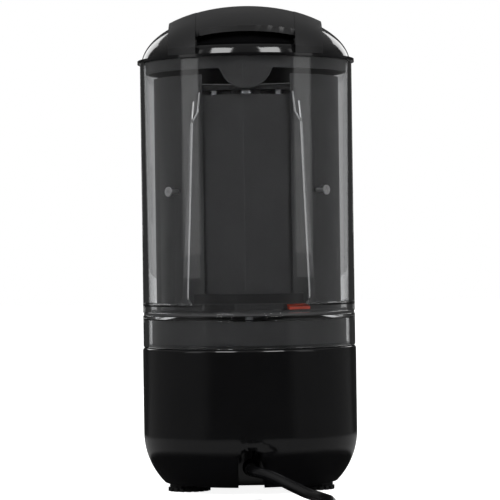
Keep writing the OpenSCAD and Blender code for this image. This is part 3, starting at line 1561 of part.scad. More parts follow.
base_housing();
bottom_plate();
foot_rear_left();
foot_rear_right();
foot_front_left();
foot_front_right();
plate_screws();
gearbox_plate();
gearbox_screws();
gear_motor();
motor_pinion();
idler_axle();
idler_gear();
drive_shaft();
output_gear();
shaft_bush();
press_motor();
screw_coupler();
switch_block();
start_button();
button_bezel();
button_spring();
control_board();
strain_relief();
power_cord();
cord_coil();
cord_tie();
power_plug();
collector_ring();
juice_tray();
juice_duct();
spout();
strainer();
reamer();
press_tower();
tower_top_plate();
column_cover();
guide_rod_left();
guide_rod_right();
lead_screw();
screw_bush();
press_carriage();
lead_nut();
press_cup();
cup_screw();
latch_tab();
chamber_shell();
shell_screws();
door_panel();
door_handle();
door_pins();
lid_dome();
lid_band_left();
lid_band_right();
lid_grip();
lid_skirt();
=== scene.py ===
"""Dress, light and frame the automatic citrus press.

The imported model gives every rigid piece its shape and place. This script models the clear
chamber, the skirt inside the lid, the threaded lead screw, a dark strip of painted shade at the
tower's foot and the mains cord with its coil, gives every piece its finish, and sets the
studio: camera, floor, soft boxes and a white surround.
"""
import json
import logging
import math
from dataclasses import dataclass, field
from enum import Enum

import bmesh
import bpy
from mathutils import Matrix, Vector

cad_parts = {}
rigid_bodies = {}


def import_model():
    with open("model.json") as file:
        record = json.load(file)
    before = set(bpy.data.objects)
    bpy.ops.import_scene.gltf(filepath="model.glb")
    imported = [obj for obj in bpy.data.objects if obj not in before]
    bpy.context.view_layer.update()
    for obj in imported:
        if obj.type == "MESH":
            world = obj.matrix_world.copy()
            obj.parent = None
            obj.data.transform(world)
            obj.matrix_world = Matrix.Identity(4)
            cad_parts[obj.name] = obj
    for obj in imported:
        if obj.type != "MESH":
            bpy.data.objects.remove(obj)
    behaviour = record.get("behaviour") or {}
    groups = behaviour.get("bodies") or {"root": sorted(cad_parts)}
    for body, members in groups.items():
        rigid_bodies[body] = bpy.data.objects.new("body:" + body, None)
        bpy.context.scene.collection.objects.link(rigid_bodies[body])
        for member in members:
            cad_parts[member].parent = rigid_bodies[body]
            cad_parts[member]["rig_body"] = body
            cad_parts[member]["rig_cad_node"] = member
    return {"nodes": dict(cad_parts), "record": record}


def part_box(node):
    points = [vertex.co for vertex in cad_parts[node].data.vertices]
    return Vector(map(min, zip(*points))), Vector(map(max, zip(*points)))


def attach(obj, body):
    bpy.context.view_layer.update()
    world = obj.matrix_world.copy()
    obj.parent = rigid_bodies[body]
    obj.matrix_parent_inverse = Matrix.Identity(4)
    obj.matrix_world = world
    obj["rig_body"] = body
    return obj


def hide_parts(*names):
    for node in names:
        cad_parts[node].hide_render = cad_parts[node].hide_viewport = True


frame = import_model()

log = logging.getLogger("citrus_press")
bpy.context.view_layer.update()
MM = 0.001
AXIS_Y = 13.9 * MM
BODY_OF = {node: body for body, nodes in frame["record"]["behaviour"]["bodies"].items()
           for node in nodes}
SLOT_OF = {part["node"]: part["material_slot"] for part in frame["record"]["subparts"]}
MERGE_DISTANCE = 0.000002
SPIN_MERGE_DISTANCE = 0.000001
NOISE_DARK, NOISE_BRIGHT = 0.3, 0.7

Point = tuple[float, float, float]
Flat = tuple[float, float]
Colour = tuple[float, float, float]
Piece = bpy.types.Object
Material = bpy.types.Material
Socket = bpy.types.NodeSocket
Feed = Socket | float | tuple[float, ...]


# ---- finishes
class Grain(Enum):
    """How the fine marks in a finish run: their pattern's scale along X, Y and Z."""

    SPECKLE = (1.0, 1.0, 1.0)
    TURNED = (0.06, 0.06, 1.0)


@dataclass
class Nodes:
    """The shader nodes of one material or of the world."""

    tree: bpy.types.NodeTree

    def feed(self, node: bpy.types.Node, feeds: dict[str | int, Feed]) -> None:
        """Fill a node's inputs.

        Args:
            node: the node.
            feeds: the socket or value that goes into each input.
        """
        for name, value in feeds.items():
            if isinstance(value, Socket):
                self.tree.links.new(value, node.inputs[name])
            else:
                node.inputs[name].default_value = value

    def add(self, kind: str, feeds: dict[str | int, Feed] | None = None,
            **settings: str) -> bpy.types.bpy_prop_collection:
        """Add a node.

        Args:
            kind: its type, as it follows ShaderNode.
            feeds: the socket or value that goes into each input.
            settings: its other settings.

        Returns:
            Its outputs.
        """
        node = self.tree.nodes.new(f"ShaderNode{kind}")
        for name, value in settings.items():
            setattr(node, name, value)
        self.feed(node, feeds or {})
        return node.outputs

    def math(self, operation: str, first: Socket, second: Socket | float = 0.0) -> Socket:
        """Return what a math node makes of two inputs."""
        return self.add("Math", {0: first, 1: second}, operation=operation)[0]

    def times(self, first: Socket, second: Socket) -> Socket:
        """Return the product of two sockets."""
        return self.math("MULTIPLY", first, second)

    def highest(self, first: Socket, second: Socket) -> Socket:
        """Return the higher of two sockets."""
        return self.math("MAXIMUM", first, second)

    def step(self, source: Socket, start: float, end: float) -> Socket:
        """Return a smooth step, 0 where the source is at the start and 1 at the end."""
        return self.add("MapRange", {"From Min": start, "From Max": end, "Value": source},
                        interpolation_type="SMOOTHSTEP")["Result"]

    def between(self, share: Socket, low: float, high: float) -> Socket:
        """Return the level that is a share of the way from low to high."""
        return self.add("MapRange", {"To Min": low, "To Max": high, "Value": share})["Result"]

    def choose(self, share: Socket, first: Socket | float, second: Socket) -> Socket:
        """Return the first level where the share is 0, and the second where it is 1."""
        return self.add("Mix", {"Factor": share, "A": first, "B": second},
                        data_type="FLOAT")["Result"]

    def blend(self, share: Socket, first: Socket, second: Socket) -> Socket:
        """Return the first shader where the share is 0, and the second where it is 1."""
        return self.add("MixShader", {0: share, 1: first, 2: second})["Shader"]

    def glow(self, strength: Socket) -> Socket:
        """Return a white glow's shader."""
        return self.add("Emission", {"Strength": strength})["Emission"]

    def noise(self, scale: float, grain: Grain = Grain.SPECKLE) -> Socket:
        """Add a noise pattern that is fixed to the piece.

        Args:
            scale: how fine the pattern is, in cycles per metre.
            grain: whether it is even or drawn out round the piece.

        Returns:
            The pattern.
        """
        place = self.add("TexCoord")["Object"]
        turned = self.add("Mapping", {"Vector": place, "Scale": grain.value})["Vector"]
        return self.add("TexNoise", {"Vector": turned, "Scale": scale, "Detail": 4.0,
                                     "Roughness": 0.55})["Fac"]

    def ramp(self, pattern: Socket, low: float, high: float) -> Socket:
        """Return a value that goes from low to high with a pattern."""
        return self.add("MapRange", {"From Min": NOISE_DARK, "From Max": NOISE_BRIGHT,
                                     "To Min": low, "To Max": high, "Value": pattern})["Result"]

    def tint(self, pattern: Socket, dark: Colour, light: Colour) -> Socket:
        """Go from one colour to another with a pattern.

        Args:
            pattern: the pattern.
            dark: the colour where it is dark.
            light: the colour where it is bright.

        Returns:
            The colour.
        """
        blend = self.tree.nodes.new("ShaderNodeValToRGB")
        stops = (NOISE_DARK, dark), (NOISE_BRIGHT, light)
        for element, (position, colour) in zip(blend.color_ramp.elements, stops):
            element.position = position
            element.color = (*colour, 1.0)
        self.feed(blend, {"Fac": pattern})
        return blend.outputs["Color"]

    def emboss(self, pattern: Socket, depth: float) -> Socket:
        """Return fine relief from a pattern, with a depth in metres."""
        return self.add("Bump", {"Strength": 0.6, "Distance": depth, "Height": pattern})["Normal"]


def new_material(name: str) -> tuple[Material, Nodes, bpy.types.Node]:
    """Make a node material.

    Args:
        name: the material's name.

    Returns:
        The material, its nodes and its shader.
    """
    material = bpy.data.materials.new(name)
    material.use_nodes = True
    nodes = material.node_tree.nodes
    return material, Nodes(material.node_tree), nodes["Principled BSDF"]


@dataclass(frozen=True)
class Finish:
    """A finish, whose roughness goes between two shares of its own."""

    name: str
    colour: Colour
    roughness: float
    roughness_shares: Flat = (0.9, 1.1)

    def shade(self, share: float) -> Colour:
        """Return a share of the colour."""
        return tuple(c * share for c in self.colour)

    def patchy(self, nodes: Nodes, pattern: Socket) -> Socket:
        """Return the roughness, varied with a pattern."""
        low, high = self.roughness_shares
        return nodes.ramp(pattern, self.roughness * low, self.roughness * high)

    def feeds(self, nodes: Nodes) -> dict[str, Feed]:
        """Return what goes into the shader."""
        raise NotImplementedError

    def make(self) -> Material:
        """Make the finish's material.

        Returns:
            The material.
        """
        material, nodes, shader = new_material(self.name)
        nodes.feed(shader, self.feeds(nodes))
        return material


@dataclass(frozen=True)
class MouldedPlastic(Finish):
    """An opaque moulded plastic, from high gloss to satin."""

    roughness_shares: Flat = (0.88, 1.12)
    variation: float = 0.12
    cloud_scale: float = 40.0
    grain_scale: float = 900.0
    grain_depth: float = 0.0

    def feeds(self, nodes: Nodes) -> dict[str, Feed]:
        """Return what goes into the shader: a faint cloud, and grain if it has a depth."""
        cloud = nodes.noise(self.cloud_scale)
        dark, light = self.shade(1.0 - self.variation), self.shade(1.0 + self.variation)
        feeds = {"Base Color": nodes.tint(cloud, dark, light),
                 "Roughness": self.patchy(nodes, cloud)}
        if self.grain_depth > 0.0:
            feeds["Normal"] = nodes.emboss(nodes.noise(self.grain_scale), self.grain_depth)
        return feeds


@dataclass(frozen=True)
class ClearPlastic(Finish):
    """A clear moulded plastic with a faint haze."""

    roughness_shares: Flat = (0.5, 1.5)
    ior: float = 1.49
    haze_scale: float = 30.0

    def feeds(self, nodes: Nodes) -> dict[str, Feed]:
        """Return what goes into the shader."""
        haze = self.patchy(nodes, nodes.noise(self.haze_scale))
        return {"Base Color": (*self.colour, 1.0), "Transmission Weight": 1.0, "IOR": self.ior,
                "Roughness": haze}


@dataclass(frozen=True)
class Metal(Finish):
    """A bare metal that was turned or polished."""

    roughness_shares: Flat = (0.8, 1.25)
    grain: Grain = Grain.TURNED
    grain_scale: float = 2500.0
    grain_depth: float = 0.00002
    dark_share: float = 0.86

    def feeds(self, nodes: Nodes) -> dict[str, Feed]:
        """Return what goes into the shader."""
        marks = nodes.noise(self.grain_scale, self.grain)
        return {"Metallic": 1.0,
                "Base Color": nodes.tint(marks, self.shade(self.dark_share), self.colour),
                "Roughness": self.patchy(nodes, marks),
                "Normal": nodes.emboss(marks, self.grain_depth)}


@dataclass(frozen=True)
class Rubber(Finish):
    """A matt black rubber or soft cord jacket."""

    grain_scale: float = 1400.0
    grain_depth: float = 0.00003
    cloud_scale: float = 60.0
    dark_share: float = 0.75

    def feeds(self, nodes: Nodes) -> dict[str, Feed]:
        """Return what goes into the shader."""
        grain, cloud = nodes.noise(self.grain_scale), nodes.noise(self.cloud_scale)
        return {"Base Color": nodes.tint(cloud, self.shade(self.dark_share), self.colour),
                "Roughness": self.patchy(nodes, cloud),
                "Normal": nodes.emboss(grain, self.grain_depth)}


FINISHES = {
    "gloss_black": MouldedPlastic("gloss_black_plastic", (0.0035, 0.0035, 0.0038), 0.09),
    "satin_black": MouldedPlastic("satin_black_plastic", (0.008, 0.008, 0.0085), 0.42,
                                  grain_depth=0.00004),
    "grey_plastic": MouldedPlastic("smoke_grey_plastic", (0.046, 0.046, 0.0475), 0.5),
    "clear_plastic": ClearPlastic("clear_plastic", (0.885, 0.89, 0.895), 0.012),
    "black_rubber": Rubber("black_rubber", (0.009, 0.009, 0.0095), 0.55),
    "cord_jacket": Rubber("cord_jacket", (0.0045, 0.0045, 0.005), 0.24),
    "steel": Metal("drawn_steel", (0.52, 0.53, 0.55), 0.28),
    "bright_steel": Metal("bright_steel", (0.86, 0.86, 0.87), 0.42),
    "chrome": Metal("polished_chrome", (0.68, 0.69, 0.71), 0.08),
    "brass": Metal("turned_brass", (0.62, 0.45, 0.19), 0.25),
    "gear_plastic": MouldedPlastic("natural_gear_plastic", (0.66, 0.63, 0.55), 0.38),
    "circuit_board": MouldedPlastic("lacquered_board", (0.02, 0.09, 0.035), 0.3),
    "red_plastic": MouldedPlastic("red_plastic", (0.62, 0.06, 0.02), 0.35),
}


# ---- helpers
def deselect_all() -> None:
    """Deselect every object."""
    for thing in bpy.context.selected_objects:
        thing.select_set(False)


def dress(piece: Piece, material: Material) -> None:
    """Cover a piece with one material."""
    piece.data.materials.clear()
    piece.data.materials.append(material)


def rounded(corners: list[Point], steps: int = 4) -> list[Flat]:
    """Round the corners of a closed outline.

    Args:
        corners: each corner as two coordinates and its round's radius, in millimetres.
        steps: the number of flats in each round.

    Returns:
        The outline's points in millimetres.
    """
    points = []
    for i, (x, y, radius) in enumerate(corners):
        here = Vector((x, y))
        if radius <= 0.0:
            points.append((x, y))
            continue
        back = (Vector(corners[i - 1][:2]) - here).normalized()
        ahead = (Vector(corners[(i + 1) % len(corners)][:2]) - here).normalized()
        half = back.angle(ahead) / 2.0
        middle = here + (back + ahead).normalized() * radius / math.sin(half)
        first = here + back * radius / math.tan(half) - middle
        last = here + ahead * radius / math.tan(half) - middle
        sweep = first.angle_signed(last)
        for step in range(steps + 1):
            arm = first.copy()
            arm.rotate(Matrix.Rotation(-sweep * step / steps, 2))
            points.append((middle.x + arm.x, middle.y + arm.y))
    return points


def ease(value: float, start: float, end: float) -> float:
    """Return a smooth step, 0 where the value is at the start and 1 at the end."""
    t = min(max((value - start) / (end - start), 0.0), 1.0)
    return t * t * (3.0 - 2.0 * t)


def edit_whole() -> None:
    """Enter edit mode with the whole active piece selected."""
    bpy.ops.object.mode_set(mode="EDIT")
    bpy.ops.mesh.select_all(action="SELECT")


def face_outwards() -> None:
    """Turn all the active piece's faces outwards and leave edit mode."""
    bpy.ops.mesh.select_all(action="SELECT")
    bpy.ops.mesh.normals_make_consistent(inside=False)
    bpy.ops.object.mode_set(mode="OBJECT")


def ring_of_points(name: str, points: list[Point], filled: bool = False) -> Piece:
    """Add a circle and move its points to an outline.

    Args:
        name: the new piece's name.
        points: the outline in metres.
        filled: whether a face fills it.

    Returns:
        The new piece, in object mode.
    """
    deselect_all()
    bpy.ops.mesh.primitive_circle_add(vertices=len(points), radius=1.0,
                                      fill_type="NGON" if filled else "NOTHING")
    piece = bpy.context.object
    piece.name = name
    for vertex, point in zip(piece.data.vertices, points):
        vertex.co = point
    return piece


def spun(name: str, outline: list[Flat], steps: int, start: float = 0.0,
         sweep: float = 360.0) -> Piece:
    """Spin a closed outline round the press's axis.

    Args:
        name: the new piece's name.
        outline: distances from the axis and heights in millimetres.
        steps: the number of steps in the sweep.
        start: the first angle, in degrees from the user's side towards +X.
        sweep: the angle swept, in degrees.

    Returns:
        The new piece in object mode, with open ends unless it is a full turn.
    """
    sine, cosine = math.sin(math.radians(start)), math.cos(math.radians(start))
    points = [(r * sine * MM, AXIS_Y - r * cosine * MM, z * MM) for r, z in outline]
    piece = ring_of_points(name, points)
    edit_whole()
    bpy.ops.mesh.spin(steps=steps, angle=-math.radians(sweep), center=(0.0, AXIS_Y, 0.0),
                      axis=(0.0, 0.0, 1.0))
    bpy.ops.mesh.select_all(action="SELECT")
    bpy.ops.mesh.remove_doubles(threshold=SPIN_MERGE_DISTANCE)
    face_outwards()
    return piece


def lofted(name: str, sections: list[list[Point]]) -> Piece:
    """Extrude a face through sections with the same number of corners.

    Args:
        name: the new piece's name.
        sections: the corners of each section in metres, in the same order.

    Returns:
        The new piece, in object mode.
    """
    piece = ring_of_points(name, sections[0], filled=True)
    edit_whole()
    for before, after in zip(sections, sections[1:]):
        bpy.ops.mesh.extrude_region_move()
        mesh = bmesh.from_edit_mesh(piece.data)
        for vertex in [v for v in mesh.verts if v.select]:
            nearest = min(range(len(before)),
                          key=lambda k: (vertex.co - Vector(before[k])).length)
            vertex.co = after[nearest]
        bmesh.update_edit_mesh(piece.data)
    face_outwards()
    return piece


def join(name: str, pieces: list[Piece]) -> Piece:
    """Join pieces into one.

    Args:
        name: the joined piece's name.
        pieces: the pieces, the first of which takes in the others.

    Returns:
        The joined piece.
    """
    deselect_all()
    for piece in pieces:
        piece.select_set(True)
    bpy.context.view_layer.objects.active = pieces[0]
    bpy.ops.object.join()
    pieces[0].name = name
    return pieces[0]


def close_ends() -> None:
    """Merge the active piece's doubles, close its open loops and turn its faces outwards."""
    edit_whole()
    bpy.ops.mesh.remove_doubles(threshold=MERGE_DISTANCE)
    bpy.ops.mesh.select_all(action="SELECT")
    bpy.ops.mesh.fill_holes(sides=0)
    face_outwards()


def soften(piece: Piece, width: float, segments: int = 3, limit_degrees: float = 40.0) -> None:
    """Bevel a piece's sharp edges.

    Args:
        piece: the piece.
        width: the bevel's width in millimetres.
        segments: the number of flats across it.
        limit_degrees: the angle past which an edge is sharp.
    """
    bpy.context.view_layer.objects.active = piece
    bevel = piece.modifiers.new("soft_edges", "BEVEL")
    bevel.width = width * MM
    bevel.segments = segments
    bevel.limit_method = "ANGLE"
    bevel.angle_limit = math.radians(limit_degrees)
    bpy.ops.object.modifier_apply(modifier=bevel.name)


def rod(middle: Point, radius: float, length: float, flats: int, edge: float,
        edge_flats: int) -> Piece:
    """Add an upright rod with softened ends.

    Args:
        middle: its middle in metres.
        radius: its radius in millimetres.
        length: its length in millimetres.
        flats: the number of flats round it.
        edge: the width of the bevel at its ends in millimetres.
        edge_flats: the number of flats across that bevel.

    Returns:
        The rod.
    """
    deselect_all()
    bpy.ops.mesh.primitive_cylinder_add(vertices=flats, radius=radius * MM, depth=length * MM,
                                        location=middle)
    piece = bpy.context.object
    piece.data.transform(piece.matrix_world)
    piece.matrix_world = Matrix.Identity(4)
    soften(piece, edge, edge_flats, limit_degrees=50.0)
    return piece


def smooth(piece: Piece, degrees: float = 32.0) -> None:
    """Shade a piece's round faces smooth, and keep large flat faces flat next to them.

    Args:
        piece: the piece.
        degrees: the angle past which an edge stays sharp.
    """
    deselect_all()
    piece.select_set(True)
    bpy.context.view_layer.objects.active = piece
    bpy.ops.object.shade_smooth_by_angle(angle=math.radians(degrees))
    weighted = piece.modifiers.new("even_shading", "WEIGHTED_NORMAL")
    weighted.mode = "FACE_AREA"
    weighted.weight = 100
    weighted.keep_sharp = True
    bpy.ops.object.modifier_apply(modifier=weighted.name)


def stand_for(piece: Piece, node: str) -> None:
    """Let a piece stand for a node: hide the node, put the piece on the node's body, and log it.

    Args:
        piece: the piece.
        node: the node that it replaces.
    """
    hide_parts(node)
    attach(piece, BODY_OF[node])
    log.info("%s: %d faces, stands for %s", piece.name, len(piece.data.polygons), node)


def finish_piece(piece: Piece, node: str, material: Material) -> None:
    """Smooth and dress a new piece, and let it stand for a node.

    Args:
        piece: the new piece.
        node: the node that it replaces.
        material: its finish.
    """
    smooth(piece)
    dress(piece, material)
    stand_for(piece, node)


# ---- clear chamber
@dataclass
class ClearChamber:
    """The clear chamber, its door, the ring under it and the skirt inside the lid.

    Lengths are in millimetres, and angles in degrees from the user's side towards +X.
    """

    clear: Material
    grey: Material
    radius: float = 74.5
    foot_z: float = 123.9
    top_z: float = 298.0
    foot_radius: float = 69.0
    foot_height: float = 4.6
    foot_taper: float = 2.5
    wall_top: float = 2.8
    wall_foot: float = 4.2
    sill_z: float = 133.0
    head_z: float = 271.0
    door_half_angle: float = 46.0
    door_gap_angle: float = 0.4
    jamb_angle: float = 48.79
    tower_radius: float = 64.8
    rib_gap: float = 0.6
    rib_short: float = 0.02
    rib_edge: float = 0.35
    # each bar's levels: height, and how far its two sides are from the middle
    rib_bars: dict[str, list[Point]] = field(default_factory=lambda: {
        "stem": [(129.8, 37.4, 47.8), (134.5, 39.9, 44.3), (139.0, 39.8, 44.1),
                 (255.7, 35.6, 37.4)],
        "short_tine": [(254.2, 35.7, 37.3), (268.4, 34.5, 35.9)],
        "long_tine": [(254.6, 35.2, 36.6), (261.0, 31.7, 33.2), (274.5, 30.3, 31.7)],
    })
    line_x: float = 2.1
    line_half: float = 0.2
    line_proud: float = 0.12
    line_root: float = 0.3
    line_above_foot: float = 8.0
    line_below_top: float = 0.8
    door_gap: float = 0.4
    door_inner: float = 71.1
    door_outer: float = 74.4
    door_start: float = -44.645
    door_sweep: float = 90.645
    door_edge: float = 0.5
    door_edge_limit: float = 50.0
    hinge_radius: float = 71.9
    knuckle_radius: float = 2.2
    knuckle_edge: float = 0.4
    ring_inner: float = 70.6
    ring_lip: float = 66.3
    ring_low: float = 100.0
    ring_high: float = 122.4
    ring_lip_z: float = 119.4
    spout_z: float = 114.5
    spout_angle: float = 8.8
    skirt_low: float = 290.3
    skirt_high: float = 300.2
    skirt_inner: float = 68.5
    skirt_outer: float = 70.3
    hem: float = 1.0
    tongue_radius: float = 18.0
    tongue_z: float = 294.3
    front_drop: float = 2.7
    drop_start: float = 0.5
    drop_full: float = 0.75

    def inner_radius(self, z: float) -> float:
        """Find the inner wall's radius.

        Args:
            z: the height.

        Returns:
            The radius at that height.
        """
        low = self.foot_z + self.foot_height + self.foot_taper
        share = (z - low) / (self.top_z - low)
        return self.radius - self.wall_foot + (self.wall_foot - self.wall_top) * share

    @staticmethod
    def at_rear(x: float, radius: float, z: float) -> Point:
        """Return the place in metres that is x across on a radius at the rear."""
        return x * MM, AXIS_Y + math.sqrt(radius * radius - x * x) * MM, z * MM

    def wall(self) -> Piece:
        """Build the wall with its doorway.

        Returns:
            The wall as one closed mesh.
        """
        taper_z = self.foot_z + self.foot_height + self.foot_taper
        foot_outer = [(self.foot_radius, self.foot_z, 0.4), (self.radius, self.foot_z, 0.6)]
        foot_inner = [(self.radius - self.wall_foot, taper_z, 0.8),
                      (self.foot_radius, self.foot_z + self.foot_height, 0.5)]
        top = [(self.radius, self.top_z, 0.7), (self.radius - self.wall_top, self.top_z, 0.5)]
        sill = [(self.radius, self.sill_z, 0.0),
                (self.inner_radius(self.sill_z), self.sill_z, 0.0)]
        head = [(self.inner_radius(self.head_z), self.head_z, 0.0),
                (self.radius, self.head_z, 0.0)]
        whole = foot_outer + [sill[0], head[1]] + top + [head[0], sill[1]] + foot_inner
        start = self.door_half_angle + self.door_gap_angle
        back_sweep = 360.0 - start - self.jamb_angle
        front = {"steps": 52, "start": -self.jamb_angle, "sweep": 360.0 - back_sweep}
        back = spun("wall_back", rounded(whole), steps=144, start=start, sweep=back_sweep)
        low = spun("wall_low", rounded(foot_outer + sill + foot_inner), **front)
        high = spun("wall_high", rounded(head + top), **front)
        wall = join("chamber_wall", [back, low, high])
        close_ends()
        return wall

    def rib(self, side: int) -> list[Piece]:
        """Build one rib and the fork at its top.

        Args:
            side: 1 for the rib at +X, -1 for the one at -X.

        Returns:
            The rib and the fork's two tines.
        """
        made = []
        for label, levels in self.rib_bars.items():
            sections = []
            for z, near, far in levels:
                tower = self.tower_radius + self.rib_gap
                wall = self.inner_radius(z) - self.rib_short
                spots = [(near, tower), (far, tower), (far, wall), (near, wall)]
                sections.append([self.at_rear(side * x, r, z) for x, r in spots])
            bar = lofted(label, sections)
            soften(bar, self.rib_edge)
            made.append(bar)
        return made

    def parting_line(self) -> Piece:
        """Build the fine witness line that the mould leaves down the wall's rear.

        Returns:
            The line.
        """
        near, far = self.line_x - self.line_half, self.line_x + self.line_half
        root, crest = self.radius - self.line_root, self.radius + self.line_proud
        spots = [(near, root), (far, root), (far, crest), (near, crest)]
        levels = self.foot_z + self.line_above_foot, self.top_z - self.line_below_top
        return lofted("parting_line", [[self.at_rear(x, r, z) for x, r in spots] for z in levels])

    def door(self) -> Piece:
        """Build the door's panel with its softened edges.

        Returns:
            The panel.
        """
        low, high = self.sill_z + self.door_gap, self.head_z - self.door_gap
        outline = [(self.door_inner, low), (self.door_outer, low), (self.door_outer, high),
                   (self.door_inner, high)]
        panel = spun("door_pane", outline, 60, self.door_start, self.door_sweep)
        close_ends()
        soften(panel, self.door_edge, limit_degrees=self.door_edge_limit)
        return panel

    def knuckle(self) -> Piece:
        """Build the tube along the door's hinge side.

        Returns:
            The tube.
        """
        angle = math.radians(-self.door_half_angle)
        middle = (self.hinge_radius * math.sin(angle) * MM,
                  AXIS_Y - self.hinge_radius * math.cos(angle) * MM,
                  (self.sill_z + self.head_z) / 2 * MM)
        return rod(middle, self.knuckle_radius, self.head_z - self.sill_z - 2 * self.door_gap,
                   flats=32, edge=self.knuckle_edge, edge_flats=3)

    def ring(self) -> Piece:
        """Build the clear ring round the juice tray, open at the front for the spout.

        Returns:
            The ring.
        """
        inner, outer, lip, gap = self.ring_inner, self.radius, self.ring_lip, self.spout_angle
        foot = [(inner, self.ring_low, 0.3), (outer, self.ring_low, 0.6)]
        rest = [(outer, self.spout_z, 0.0), (outer, self.ring_high, 0.7),
                (lip, self.ring_high, 0.4), (lip, self.ring_lip_z, 0.4),
                (inner, self.ring_lip_z, 0.5), (inner, self.spout_z, 0.0)]
        back = spun("ring_back", rounded(foot + rest), 184, gap, 360.0 - 2 * gap)
        front = spun("ring_front", rounded(rest), 9, -gap, 2 * gap)
        ring = join("collector_ring_clear", [back, front])
        close_ends()
        return ring

    def skirt(self) -> Piece:
        """Build the skirt inside the lid, with the tongue that hangs from its rear.

        Returns:
            The skirt.
        """
        inner, outer, low, high = (self.skirt_inner, self.skirt_outer, self.skirt_low,
                                   self.skirt_high)
        outline = [(inner, low, 0.5), (outer, low, 0.5), (outer, high, 0.3), (inner, high, 0.3)]
        skirt = spun("lid_skirt_smooth", rounded(outline), steps=384)
        for vertex in skirt.data.vertices:
            x, z = vertex.co.x / MM, vertex.co.z / MM
            if z >= low + self.hem:
                continue
            if vertex.co.y > AXIS_Y and abs(x) < self.tongue_radius:
                edge = self.tongue_z - math.sqrt(self.tongue_radius ** 2 - x * x)
                vertex.co.z -= max(low - edge, 0.0) * MM
            else:
                forward = (AXIS_Y - vertex.co.y) / (outer * MM)
                share = ease(forward, self.drop_start, self.drop_full)
                vertex.co.z -= self.front_drop * share * MM
        return skirt

    def build(self) -> None:
        """Build and dress every clear piece, and the skirt."""
        wall = self.wall()
        ribs = [bar for side in (-1, 1) for bar in self.rib(side)]
        chamber = join("chamber_clear", [wall, self.parting_line()] + ribs)
        finish_piece(chamber, "chamber_shell", self.clear)
        finish_piece(join("door_clear", [self.door(), self.knuckle()]), "door_panel", self.clear)
        finish_piece(self.ring(), "collector_ring", self.clear)
        finish_piece(self.skirt(), "lid_skirt", self.grey)


# ---- painted shade at the tower's foot
@dataclass
class TowerFootShade:
    """A dark strip along the foot of the tower's rear, between the chamber's ribs, that paints
    the shade there.

    Lengths are in millimetres, and the angle is in degrees.
    """

    black: Material
    inner: float = 64.85
    outer: float = 65.35
    low: float = 129.4
    high: float = 137.2
    half_angle: float = 34.0

    def build(self) -> None:
        """Build and dress the strip of painted shade."""
        outline = [(self.inner, self.low, 0.0), (self.outer, self.low, 0.2),
                   (self.outer, self.high, 0.3), (self.inner, self.high, 0.0)]
        # painted shade: a dark strip where the foot of the tower's rear is in shadow
        strip = spun("tower_foot_painted_shade", rounded(outline), steps=40,
                     start=180.0 - self.half_angle, sweep=2 * self.half_angle)
        close_ends()
        smooth(strip)
        dress(strip, self.black)
        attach(strip, "base")


# ---- lead screw
@dataclass
class LeadScrew:
    """The four-start screw that lowers the press cup, with its plain ends.

    Lengths are in millimetres. The thread's crest and root are shares of its pitch.
    """

    metal: Material
    screw_y: float = 53.8
    lead: float = 8.0
    starts: int = 4
    outer: float = 2.8
    depth: float = 0.45
    crest_end: float = 0.3
    root_start: float = 0.5
    root_end: float = 0.8
    steps: int = 48
    low: float = 113.0
    high: float = 272.0
    overlap: float = 0.2
    collar_outer: float = 4.4
    collar_top: float = 275.75
    collar_height: float = 2.5
    edge: float = 0.3

    def flank(self) -> Piece:
        """Lay out one lead of the thread's outline as an open chain.

        Returns:
            The chain, below the thread's lower end.
        """
        pitch = self.lead / self.starts
        root = self.outer - self.depth
        profile = []
        for start in range(self.starts):
            z = start * pitch
            profile += [(self.outer, z), (self.outer, z + self.crest_end * pitch),
                        (root, z + self.root_start * pitch), (root, z + self.root_end * pitch)]
        profile.append((self.outer, self.lead))
        points = [(r * MM, 0.0, (z + self.low - self.lead) * MM) for r, z in profile]
        chain = ring_of_points("lead_screw_thread", points)
        bpy.ops.object.mode_set(mode="EDIT")
        mesh = bmesh.from_edit_mesh(chain.data)
        ends = {0, len(points) - 1}
        closing = [e for e in mesh.edges if {v.index for v in e.verts} == ends]
        bmesh.ops.delete(mesh, geom=closing, context="EDGES")
        bmesh.update_edit_mesh(chain.data)
        bpy.ops.object.mode_set(mode="OBJECT")
        return chain

    def thread(self) -> Piece:
        """Wind the thread's outline round the axis and cut it level.

        Returns:
            The threaded length.
        """
        thread = self.flank()
        winding = thread.modifiers.new("winding", "SCREW")
        winding.steps = winding.render_steps = self.steps
        winding.angle = math.tau
        winding.screw_offset = self.lead * MM
        winding.iterations = math.ceil((self.high - self.low) / self.lead) + 2
        winding.use_merge_vertices = True
        winding.use_normal_calculate = True
        bpy.ops.object.modifier_apply(modifier=winding.name)
        bpy.ops.object.mode_set(mode="EDIT")
        for height, upward in ((self.low, False), (self.high, True)):
            bpy.ops.mesh.select_all(action="SELECT")
            bpy.ops.mesh.bisect(plane_co=(0.0, 0.0, height * MM), plane_no=(0.0, 0.0, 1.0),
                                use_fill=True, clear_inner=not upward, clear_outer=upward)
        bpy.ops.object.mode_set(mode="OBJECT")
        close_ends()
        thread.data.transform(Matrix.Translation((0.0, self.screw_y * MM + AXIS_Y, 0.0)))
        return thread

    def journal(self, low: float, high: float, radius: float) -> Piece:
        """Return a plain length of the screw, from one height to another."""
        middle = (0.0, self.screw_y * MM + AXIS_Y, (low + high) / 2 * MM)
        return rod(middle, radius, high - low, flats=48, edge=self.edge, edge_flats=2)

    def build(self) -> None:
        """Build and dress the screw."""
        low, high = (corner.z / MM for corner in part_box("lead_screw"))
        collar_low = self.collar_top - self.collar_height
        lengths = [self.thread(), self.journal(low, self.low + self.overlap, self.outer),
                   self.journal(self.high - self.overlap, high, self.outer),
                   self.journal(collar_low, self.collar_top, self.collar_outer)]
        finish_piece(join("lead_screw_threaded", lengths), "lead_screw", self.metal)


